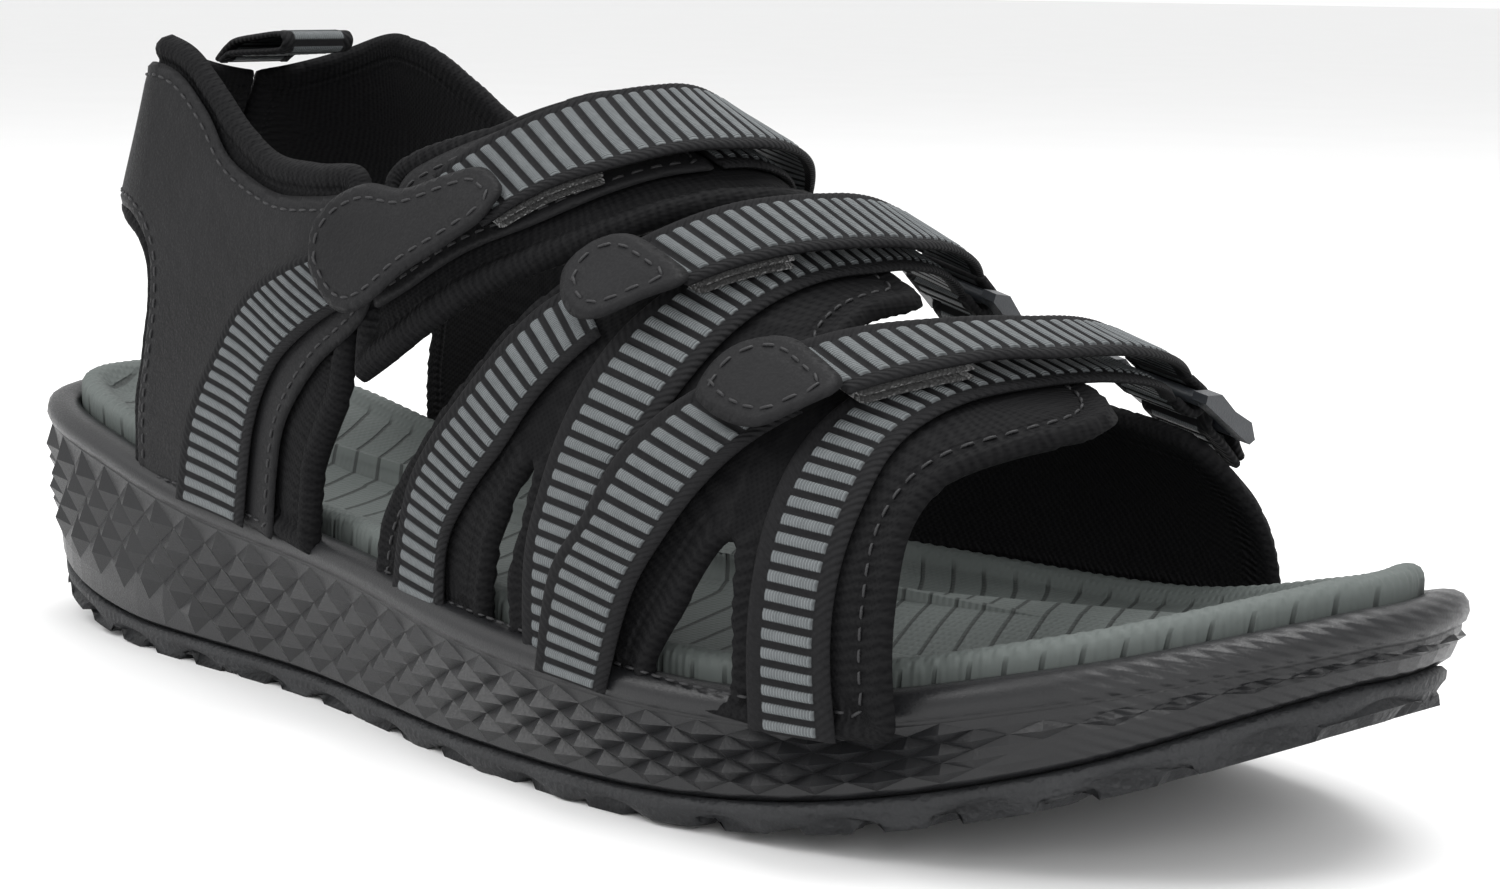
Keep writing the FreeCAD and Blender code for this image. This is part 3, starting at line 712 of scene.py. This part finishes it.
def build_outsole():
    line, outward = sole_rings(OUTSOLE_COLUMNS)
    tread = profile_z(TREAD, line)
    centre = spine(line)
    run = np.arange(len(line)) / len(line) * AROUND
    wave = 0.5 + 0.5 * np.sin(run * 2 * math.pi / 22)
    rings = [ring_at(line, outward, 8, tread + 4.4), ring_at(line, outward, 3.4, tread + 4.6),
             ring_at(line, outward, 2.6, tread + 4.0),
             ring_at(line, outward, 2.7, tread + 2.2 + 0.6 * wave),
             ring_at(line, outward, 3.3 + 1.2 * wave, tread + 0.4 + 1.6 * wave)]
    for f in np.linspace(0.08, 0.96, 26):
        flat = line * (1 - f) + centre * f
        zig = 4 * np.abs((flat[:, 1] / 9) % 2 - 1)
        groove = np.clip((np.cos((flat[:, 0] + zig) * 2 * math.pi / 13) - 0.35) * 4, 0, 1)
        z = profile_z(TREAD, flat) + 1.7 * groove
        rings.append(np.column_stack([flat, z]))
    rings = [np.column_stack([p[:, :2], np.maximum(p[:, 2], 0)]) for p in rings]
    return loft("tread_rubber", rings, RUBBER, "upper", "rubber_dark", ["outsole"])


def build_footbed():
    line, outward = sole_rings(FOOTBED_COLUMNS)
    rim = profile_z(RIM, line)
    centre = spine(line)
    run = np.arange(len(line)) / len(line) * AROUND
    rings, rope = [], []
    for inset, rise, knurl in ((16, -6.8, 0), (6.6, -6.8, 0), (6.3, -1.0, 0), (6.3, 1.5, 0.5),
                               (6.5, 3.0, 1), (7.0, 4.2, 1), (7.9, 4.9, 1), (8.9, 5.0, 1),
                               (9.9, 4.5, 1), (10.8, 3.4, 1), (11.6, 2.0, 0.6), (12.6, 1.0, 0)):
        twist = knurl * 0.09 * np.sin(run * 2 * math.pi / 2.6 + inset * 1.1)
        rise = rise * (0.66 if rise > 0 else 1)
        rings.append(ring_at(line, outward, inset - twist, rim + rise + twist))
        rope.append(np.full(len(line), float(knurl)))
    start = rings[-1][:, :2]
    for f in np.linspace(0.08, 0.97, 14):
        flat = start * (1 - f) + centre * f
        z = profile_z(RIM, flat)
        rings.append(np.column_stack([flat, z + 0.9 - 1.2 * math.sin(f * math.pi / 2)]))
        rope.append(np.zeros(len(line)))
    return loft("footbed_foam", rings, FOOTBED, "upper", "footbed_foam", ["footbed"],
                attributes={"rope": rope})


build_midsole()
build_outsole()
build_footbed()
frame["nodes"]["lasting_board"].data.materials.clear()
frame["nodes"]["lasting_board"].data.materials.append(board_material())


# ---- the layers and edges of the upper, as in the CAD ----------------------------------------
PAD, COVER, WEB_LOW, WEB_HIGH = (0, 2.8), (3.2, 4.4), (3.2, 4.6), (4.8, 6.2)
WEB_SIDE, WEB_TAIL = (4.8, 6.0), (5.0, 6.2)
LOOP_TAPE, HOOK_TAPE, STRAP, TAB = (4.8, 5.9), (6.2, 7.3), (7.5, 9.0), (9.1, 10.6)
TAPE_SPAN = (0.02, 0.24)
BAR_NEAR, BEND_R = 3.4, 2.15        # a fold's bend: its place from the ring's middle, and radius
FOLD_END, KEEPER_END = 7.0, 13.0

QUARTER_LOW = [(-142.6, 47), (-125, 45), (-110, 43), (-98, 42), (-91, 36), (-90, 27), (-92, 17),
               (-94, 7), (-94, TUCK)]
QUARTER_HIGH = [(-142.6, 66), (-122, 68), (-103, 69), (-87, 68), (-75, 62), (-66, 55), (-52, 52),
                (-38, 54), (-25, 56), (-21, 47), (-22, 37), (-34, 27), (-43, 16), (-46, 7),
                (-48, TUCK)]
LINING_LOW = [(-142.6, 44), (-125, 42), (-110, 40), (-99, 38), (-94, 34), (-93, 27), (-95, 17),
              (-97, 7), (-97, TUCK)]
LINING_HIGH = [(-142.6, 71), (-122, 73), (-103, 74.5), (-87, 73), (-76, 68), (-66, 62), (-55, 58),
               (-43, 59), (-31, 60), (-26.5, 50), (-26.5, 35), (-27.5, 24), (-31, 17), (-35, 9),
               (-37, TUCK)]
BAND_LOW = [(-25.5, 25), (-16, 31), (-4, 40), (3, 45), (10, 49), (18, 54), (24, 60), (28, 67),
            (31, 76), (33, -78), (30, -69), (22, -61)]
BAND_HIGH = [(-25.5, 62), (-21, 65), (-15, 69), (-9, 73), (-5, 81), (-4, 91), (-5, -80), (-8, -71),
             (-10, -64)]
BAND_COVER_LOW = [(-20.5, 38), (-12, 43), (-1, 51), (11, 58), (18, 66), (22, 75), (24, 82)]
BAND_COVER_HIGH = [(-20.5, 60), (-14, 65), (-7, 71), (-2, 79), (0, 87)]
PANEL_LEFT = [(-18, TUCK), (-15, 7), (-7, 18), (1, 28), (9, 37), (15, 45), (24, 55), (33, 65),
              (42, 76), (49, 82)]
PANEL_RIGHT = [(99, TUCK), (97, 13), (95, 24), (96, 33), (101, 41), (104, 50), (102, 59),
               (96, 66)]
SLITS = [[(16.5, -3), (17.5, 7), (21, 16), (26, 23), (24.5, 14), (22, 6), (22, -3)],
         [(55.5, -3), (61, 8), (67.5, 19), (70, 12), (70, -3)]]
INNER_REAR = [(-12, TUCK), (-8, 6), (2, 16), (14, 27), (26, 38)]     # from the inner base up
INNER_FRONT = [(94, TUCK), (94, 6), (93, 15), (90, 24), (86, 31)]
ARM_REAR = [(-260, 50), (-270, 51), (-281, 51)]
ARM_FRONT = [(-260, 24), (-283, 30), (-299, 36)]

WEBS = {
    "webbing_1": ([(-79, TUCK), (-75, 9), (-67, 21), (-57, 33), (-43, 42), (-30, 47)],
                  [(-56, TUCK), (-52, 12), (-45, 24), (-36, 32), (-26, 38), (-16, 42)],
                  WEB_SIDE),
    "webbing_2": ([(-10, TUCK), (-6, 12), (0, 22), (7, 30), (12, 36), (19, 45), (24, 50)],
                  [(6, TUCK), (7, 7), (13, 16), (20, 24), (25, 32), (30, 39), (33, 43)],
                  WEB_LOW),
    "webbing_4": ([(33, TUCK), (36, 9), (42, 18), (46, 27), (51, 34), (58, 42)],
                  [(49, TUCK), (54, 9), (59, 18), (63, 25), (67, 31), (72, 37)],
                  WEB_HIGH),
    "inner_webbing": ([(-207, TUCK), (-217, 12), (-232, 25), (-252, 36), (-268, 43), (-272, 44.6)],
                      [(-229, TUCK), (-236, 9), (-248, 18), (-266, 26), (-285, 33), (-290, 35)],
                      WEB_SIDE),
}

# Each strap: its two edges from tab to ring, the tab's edges, and the lower leg's edges.
STRAPS = {
    "instep": dict(
        rear=[(-10, 60), (-3, 69), (1, 76), (4, 84), (4, -86), (1, -77), (-3, -68), (-7, -58)],
        front=[(5, 54), (12, 61), (19, 68), (23, 77), (25, 85), (24, -76), (19, -67), (11, -58)],
        tab_low=[(-31, 43), (-25, 38.5), (-19, 37.5), (-13, 40), (-7, 45), (0, 49.5), (6, 54)],
        tab_high=[(-32, 49), (-28, 54), (-21, 57), (-13, 57), (-6, 60), (0, 62), (7, 59)],
        leg="instep_strap_leg",
        leg_rear=[(1, 88), (3, -85), (1, -77), (-3, -68), (-6.5, -58)],
        leg_front=[(23.5, 83), (23, -77), (18, -67), (10.5, -58)]),
    "middle": dict(
        rear=[(31, 55), (34, 61), (37, 69), (39, 76), (40, -78), (39, -69), (37, -60), (33, -52)],
        front=[(44, 51), (49, 60), (53, 69), (55, 77), (56, -72), (54, -64), (51.5, -57),
               (48, -51)],
        tab_low=[(27, 46), (31, 43), (36, 43), (40, 46), (45, 50)],
        tab_high=[(25, 49.5), (27, 54), (31, 56), (37, 54.5), (44, 52)],
        leg="webbing_3",
        leg_rear=[(28, TUCK), (28, 10), (30, 20), (32, 30), (35, 42), (39, 54), (41, 63),
                  (42, 74), (42, -76), (40, -68), (37, -59), (33.5, -52)],
        leg_front=[(46, TUCK), (44, 12), (45, 22), (49, 31), (51, 39), (52, 48), (53, 58),
                   (54, 68), (55, -78), (54, -68), (51, -59), (47.5, -51)]),
    "front": dict(
        rear=[(64, 45), (69, 51), (75, 58), (79, 66), (81, -67), (80, -58), (77, -49), (73, -41)],
        front=[(78, 39), (84, 46), (89, 54), (93, 60), (95, -60), (94.5, -52), (91.5, -45),
               (88, -39)],
        tab_low=[(57.5, 35), (63, 32.5), (70, 31.5), (74, 34), (78, 38)],
        tab_high=[(57, 39), (58.5, 43), (64, 45.5), (70, 43.5), (77, 40)],
        leg="webbing_5",
        leg_rear=[(76, TUCK), (75, 12), (74, 25), (74, 35), (76, 46), (79, 56), (82, 65),
                  (82, -65), (80, -57), (77, -49), (73.5, -41)],
        leg_front=[(91, TUCK), (89, 12), (88, 25), (87, 36), (89, 47), (92, 56), (94.5, -62),
                   (94.5, -55), (93, -48), (87.5, -39)]),
}



def band_loop(first, second, a=0.0, b=1.0, corner=1.6):
    """The closed outline between two edge curves, with rounded corners."""
    lines = [even(curve_through(e), count=200) for e in (first, second)]
    lo, hi = int(a * 200), int(b * 200) + 1
    return rounded(np.vstack([lines[0][lo:hi], lines[1][lo:hi][::-1]]), corner)


def rounded(loop, corner):
    loop = even(loop, step=0.7, closed=True)
    reach = max(1, int(corner / 1.4))
    return sum(np.roll(loop, k, axis=0) for k in range(-reach, reach + 1)) / (2 * reach + 1)


def inset(loop, gap):
    """The line that runs gap inside a closed outline."""
    loop = even(loop, step=1.1, closed=True)
    tangent = np.roll(loop, -1, 0) - np.roll(loop, 1, 0)
    tangent /= np.maximum(np.linalg.norm(tangent, axis=1, keepdims=True), 1e-9)
    left = np.stack([-tangent[:, 1], tangent[:, 0]], -1)
    x, y = loop.T
    if (x * np.roll(y, -1) - y * np.roll(x, -1)).sum() < 0:
        left = -left
    moved = loop + left * gap
    return moved[edge_distance(moved, [loop])[0] > gap * 0.93]


def stitches(name, lines, high, body, pitch=2.8, size=2.0, thick=0.26):
    """Rows of small sewn stitches lying on the outer side of a piece."""
    angles = np.arange(6) * math.pi / 3
    verts, faces = [], []
    for line in lines:
        at = even(line, step=pitch)
        run = np.gradient(at, axis=0)
        run /= np.maximum(np.linalg.norm(run, axis=1, keepdims=True), 1e-9)
        up = over(at, high + 1) - over(at, high)
        ahead = over(at + run * 0.5, high) - over(at - run * 0.5, high)
        side = np.cross(ahead, up)
        side /= np.maximum(np.linalg.norm(side, axis=1, keepdims=True), 1e-9)
        for k in range(len(at)):
            first = len(verts)
            for share, fat, lift in ((-0.5, 0.2, -0.3), (-0.35, 0.9, 0), (0, 1, 0.05),
                                     (0.35, 0.9, 0), (0.5, 0.2, -0.3)):
                centre = over(at[k:k + 1] + run[k] * share * size, high + 0.08 + lift)[0]
                verts += [centre + (side[k] * math.cos(w) + up[k] * math.sin(w)) * thick * fat
                          for w in angles]
            for r in range(4):
                for i in range(6):
                    a, b = first + r * 6 + i, first + r * 6 + (i + 1) % 6
                    faces.append((a, b, b + 6, a + 6))
            faces.append(tuple(first + i for i in range(5, -1, -1)))
            faces.append(tuple(first + 24 + i for i in range(6)))
    obj = make(name, verts, faces, THREAD)
    return settle(obj, body, "microfibre")


def seam_groove(points, distance, place):
    return -0.22 * np.exp(-((distance - 2.3) / 0.6) ** 2)


def bound_roll(points, distance, place):
    """A padded roll along the edge, gathered by its binding seam."""
    roll = 0.95 * np.exp(-((distance - 2.4) / 1.7) ** 2)
    seam = -0.45 * np.exp(-((distance - 5.0) / 0.7) ** 2)
    gather = 0.12 * np.sin(place * 2 * math.pi / 3.2) * np.exp(-((distance - 4) / 1.6) ** 2)
    ripple = 0.12 * np.sin(points[:, 0] * 0.55) * np.sin(points[:, 1] * 0.5)
    return roll + seam + gather + ripple


def soft_swell(points, distance, place):
    """A soft panel: a thin bound edge and slight unevenness across."""
    edge = (0.5 * np.exp(-((distance - 1.6) / 1.1) ** 2)
            - 0.3 * np.exp(-((distance - 3.4) / 0.6) ** 2))
    ripple = 0.14 * np.sin(points[:, 0] * 0.33 + 1) * np.sin(points[:, 1] * 0.29)
    return edge + ripple


def panel(name, loop, layer, material, slot_name, relief, body="upper", holes=(), step=1.2,
          edge=1.0, shown="fabric"):
    obj = sheet_mesh(f"{name}_{shown}", loop, layer, material, holes, step, edge, relief)
    settle(obj, body, slot_name, name)
    return obj


# ---- heel, quarters and instep band ----------------------------------------------------------
for flank, carry in (("outer", lambda e: e), ("inner", inner_side)):
    lining = band_loop(carry(LINING_LOW), carry(LINING_HIGH), corner=2.0)
    panel(f"{flank}_lining", lining, PAD, LINING, "stretch_lining", bound_roll,
          step=1.05, edge=1.7)
    quarter = band_loop(carry(QUARTER_LOW), carry(QUARTER_HIGH), corner=2.4)
    panel(f"{flank}_quarter", quarter, COVER, MICROFIBRE, "microfibre", seam_groove, edge=0.6)
    stitches(f"{flank}_quarter_stitching", [inset(quarter, 2.3)], COVER[1] - 0.15, "upper")

band = band_loop(BAND_LOW, BAND_HIGH, corner=8)
panel("instep_pad", band, PAD, LINING, "stretch_lining", bound_roll, step=1.05,
      edge=1.7)
cover = band_loop(BAND_COVER_LOW, BAND_COVER_HIGH, corner=6)
panel("instep_cover", cover, COVER, MICROFIBRE, "microfibre", seam_groove, edge=0.6)
stitches("instep_cover_stitching", [inset(cover, 2.3)], COVER[1] - 0.15, "upper")
arm = band_loop(ARM_REAR, ARM_FRONT, corner=8)
panel("inner_arm_pad", arm, PAD, LINING, "stretch_lining", bound_roll, edge=1.5)

# ---- forefoot panels: the outer one has fingers and slits ----------------------------
left, right = (even(curve_through(e), count=120) for e in (PANEL_LEFT, PANEL_RIGHT))
notch = np.array([(62.3, 77.5), (62.6, 63), (65, 54), (69, 57), (76, 65), (81.8, 70.8)])
outer_panel = rounded(np.vstack([left, notch, right[::-1]]), 6)
slits = [rounded(smooth_line(s, closed=True), 1.2) for s in SLITS]
panel("outer_forefoot_panel", outer_panel, PAD, LINING, "stretch_lining", soft_swell,
      holes=slits, edge=1.5)
stitches("forefoot_panel_stitching", [inset(outer_panel, 4.2)], PAD[1] - 0.05, "upper")
inner_panel = band_loop(from_inner_base(INNER_REAR), from_inner_base(INNER_FRONT), corner=6)
panel("inner_forefoot_panel", inner_panel, PAD, LINING, "stretch_lining", soft_swell,
      edge=1.5)
stitches("inner_panel_stitching", [inset(inner_panel, 4.2)], PAD[1] - 0.05, "upper")

# ---- webbings on the upper -------------------------------------------------------------------
for name, (rear, front, layer) in WEBS.items():
    settle(webbing(f"{name}_weave", rear, front, layer, WEBBING), "upper", "webbing", name)


def band_strip(name, centre, normal, across, wide, thick, braid=1.8):
    """Ribbed webbing along any line of space, given the side that faces out."""
    size = np.concatenate([[0], np.cumsum(np.linalg.norm(np.diff(centre, axis=0), axis=1))])
    rows = int(size[-1] / RIB * 7) + 1
    along = np.linspace(0, size[-1], rows)
    c, n = (np.stack([np.interp(along, size, f[:, k]) for k in range(3)], -1)
            for f in (centre, normal))
    n /= np.linalg.norm(n, axis=1, keepdims=True)
    columns = np.array([0, 0.25, 0.5, 0.9, braid, braid + 0.3,
                        *np.linspace(braid + 1, wide / 2, 4)])
    columns = np.concatenate([columns, wide - columns[-2::-1]])
    x, y = np.meshgrid(columns, along)
    edge = np.minimum(x, wide - x)
    phase = (y / RIB) % 1.0
    rib = np.sqrt(np.clip(1 - ((phase - 0.5) / 0.36) ** 2, 0, 1))
    field = np.clip((edge - braid) / 0.25, 0, 1)
    thin = np.sqrt(np.clip(1 - (1 - np.clip(edge / 0.5, 0, 1)) ** 2, 0.06, 1)) * thick / 2
    rise = thin - 0.3 + 0.3 * rib * field + 0.15 * (1 - field)
    base = c[:, None] + across * (x - wide / 2)[..., None]
    top = (base + n[:, None] * rise[..., None]).reshape(-1, 3)
    low = (base - n[:, None] * thin[..., None]).reshape(-1, 3)
    return strip_object(name, top, low, rows, len(columns), x, y, wide, WEBBING)


def ring_frame(name):
    """The strap ring's frame from its two joints: a along its bars, b down, c outward."""
    keeper, bar = JOINTS[f"{name}_ring_tilt"], JOINTS[f"{name}_strap_open"]
    lower, upper = (np.array(j["pos_m"], float) / MM for j in (keeper, bar))
    a = -np.array(keeper["axis"], float)
    a /= np.linalg.norm(a)
    b = (lower - upper) / np.linalg.norm(lower - upper)
    return (lower + upper) / 2, a, b, np.cross(a, b)


def folded(name, local, wide, side, end):
    """Webbing folded round a ring's bar, both legs leading away from the ring."""
    origin, a, b, c = local
    near, r = BAR_NEAR, BEND_R
    turn = np.linspace(0, math.pi, 15)
    arc = [(near - r * math.sin(w), r * math.cos(w), -math.sin(w), math.cos(w)) for w in turn]
    # a keeper's outer leg is sewn down to its inner one, and both follow the panel
    path = []
    for p in np.linspace(end, near, 9)[:-1]:
        share = (p - near) / (end - near)
        sewn = (r + 0.62) * share * share * (3 - 2 * share) if side > 0 else 0
        path.append((p, r - sewn - (0.011 * (p - near) ** 2 if side > 0 else 0), 0, 1))
    path += arc
    for p in np.linspace(near, end, 9)[1:]:
        path.append((p, -r - (0.011 * (p - near) ** 2 if side > 0 else 0), 0, -1))
    centre = np.array([origin + b * side * p + c * q for p, q, _, _ in path])
    normal = np.array([b * side * p + c * q for _, _, p, q in path])
    return band_strip(name, centre, normal, a, wide, 1.45)


# ---- the three straps ------------------------------------------------------------------------
for name, strap in STRAPS.items():
    local = ring_frame(name)
    ring_body, strap_body = f"{name}_ring", f"{name}_strap"
    rear, front = strap["rear"], strap["front"]
    ends = over([outer_s(rear[-1]), outer_s(front[-1])], 8)
    wide = float(np.linalg.norm(ends[1] - ends[0])) - 0.6
    bend_from = (ends.mean(0)) * MM
    along_strap = over([outer_s(rear[-2]), outer_s(front[-2])], 8).mean(0) * MM
    bend_to = bend_from + (along_strap - bend_from) * 0.9

    leg = webbing(f"{strap['leg']}_weave", strap["leg_rear"], strap["leg_front"], WEB_LOW,
                  WEBBING)
    leg_end = over([outer_s(strap["leg_rear"][-1]), outer_s(strap["leg_front"][-1])],
                   4).mean(0) * MM
    settle(leg, "upper", "webbing", strap["leg"],
           blend=(ring_body, leg_end - np.array([0, 0.022, 0]), leg_end))

    tape = webbing(f"{name}_strap_weave", rear, front, STRAP, WEBBING)
    settle(tape, ring_body, "webbing", f"{name}_strap", blend=(strap_body, bend_from, bend_to))

    for kind, layer, body in (("hook_tape", HOOK_TAPE, strap_body), ("loop_tape", LOOP_TAPE,
                                                                   "upper")):
        loop = band_loop(rear, front, *TAPE_SPAN, corner=1.5)
        panel(f"{name}_{kind}", loop, layer, TAPE, "hook_and_loop", None, body, edge=0.4,
              shown="pile")
    tab = band_loop(strap["tab_low"], strap["tab_high"], corner=3.5)
    panel(f"{name}_tab", tab, TAB, MICROFIBRE, "microfibre", seam_groove, strap_body, step=1.0,
          edge=0.8)
    stitches(f"{name}_tab_stitching", [inset(tab, 2.3)], TAB[1] - 0.15, strap_body)

    settle(folded(f"{name}_fold_weave", local, wide, -1, FOLD_END), ring_body, "webbing",
           f"{name}_fold")
    settle(folded(f"{name}_keeper_weave", local, wide, 1, KEEPER_END), "upper", "webbing",
           f"{name}_keeper")
    ring = frame["nodes"][f"{name}_ring"]
    ring.data.materials.clear()
    ring.data.materials.append(PLASTIC)

# ---- the heel pull loop ----------------------------------------------------------------------
LOOP_WIDE = 16.0
LOOP_PATH = [(-1.9, 2.0), (-0.6, 3.1), (1.4, 4.5), (4.2, 5.7), (11, 6.6), (17.4, 7.2), (18.9, 6.6),
             (19.2, 5.6), (18.4, 4.5), (16.5, 4.0), (9.5, 3.6), (2.6, 3.2), (0.6, 2.5), (-0.8, 1.7)]
path = smooth_line(LOOP_PATH)
along_path = np.gradient(path, axis=0)
top = over([(-143, 71)], 1.5)[0]
centre = np.column_stack([top[0] + path[:, 0], np.full(len(path), top[1]), top[2] + path[:, 1]])
normal = np.column_stack([-along_path[:, 1], np.zeros(len(path)), along_path[:, 0]])
normal /= np.linalg.norm(normal, axis=1, keepdims=True)
loop = band_strip("heel_pull_loop_weave", centre, normal, np.array([0, 1.0, 0]), LOOP_WIDE, 1.2)
settle(loop, "pull_loop", "webbing", "heel_pull_loop")
tail = webbing("pull_loop_tail_weave", [(-143 + LOOP_WIDE / 2, 50), (-143 + LOOP_WIDE / 2, 65)],
               [(-143 - LOOP_WIDE / 2, 50), (-143 - LOOP_WIDE / 2, 65)], WEB_TAIL, WEBBING,
               braid=1.8)
settle(tail, "upper", "webbing", "pull_loop_tail")

# ---- camera, light and floor -----------------------------------------------------------------
AZIMUTH, ELEVATION, ROLL = (math.radians(v) for v in (44.86, 8.74, 0.44))
back = np.array([math.sin(AZIMUTH) * math.cos(ELEVATION), -math.cos(AZIMUTH)
                 * math.cos(ELEVATION), math.sin(ELEVATION)])
side = np.array([math.cos(AZIMUTH), math.sin(AZIMUTH), 0])
up = np.cross(back, side)
camera_data = bpy.data.cameras.new("camera")
camera_data.lens, camera_data.sensor_width = 74.71, 36
camera = bpy.data.objects.new("camera", camera_data)
bpy.context.scene.collection.objects.link(camera)
camera_at = (np.array([0, 0, 40]) + side * 17.19 + up * 5.18 + back * 521.8) * MM
columns = [side * math.cos(ROLL) + up * math.sin(ROLL), up * math.cos(ROLL)
           - side * math.sin(ROLL), back]
camera.matrix_world = Matrix([[*(c[k] for c in columns), camera_at[k]] for k in range(3)]
                             + [[0, 0, 0, 1]])
bpy.context.scene.camera = camera


def softbox(name, place, size, power, target=(0, 0, 0.04)):
    light = bpy.data.lights.new(name, "AREA")
    light.shape, light.size, light.energy = "SQUARE", size, power
    obj = bpy.data.objects.new(name, light)
    bpy.context.scene.collection.objects.link(obj)
    obj.location = place
    obj.rotation_euler = (Vector(target) - Vector(place)).to_track_quat("-Z", "Y").to_euler()
    return obj


softbox("key_light", (-0.5, -0.9, 1.0), 0.8, 9)
softbox("front_light", (0.9, -0.7, 0.5), 0.6, 4)
softbox("top_light", (0.1, 0.3, 1.2), 0.9, 12)
world = bpy.data.worlds.new("studio")
world.use_nodes = True
world.node_tree.nodes["Background"].inputs["Color"].default_value = (1, 1, 1, 1)
world.node_tree.nodes["Background"].inputs["Strength"].default_value = 1.0
bpy.context.scene.world = world
bpy.context.scene.view_settings.view_transform = "Standard"

floor_material = Nodes("pale_floor", (0.86, 0.86, 0.86), 0.7)
shade = floor_material.noise(floor_material.place(), 0.01, 2)
floor = make("floor", [(-9000, -9000, 0), (9000, -9000, 0), (9000, 9000, 0), (-9000, 9000, 0)],
             [(0, 1, 2, 3)], floor_material.finish(
                 floor_material.mix(shade, (0.84, 0.84, 0.84), (0.87, 0.87, 0.87))))
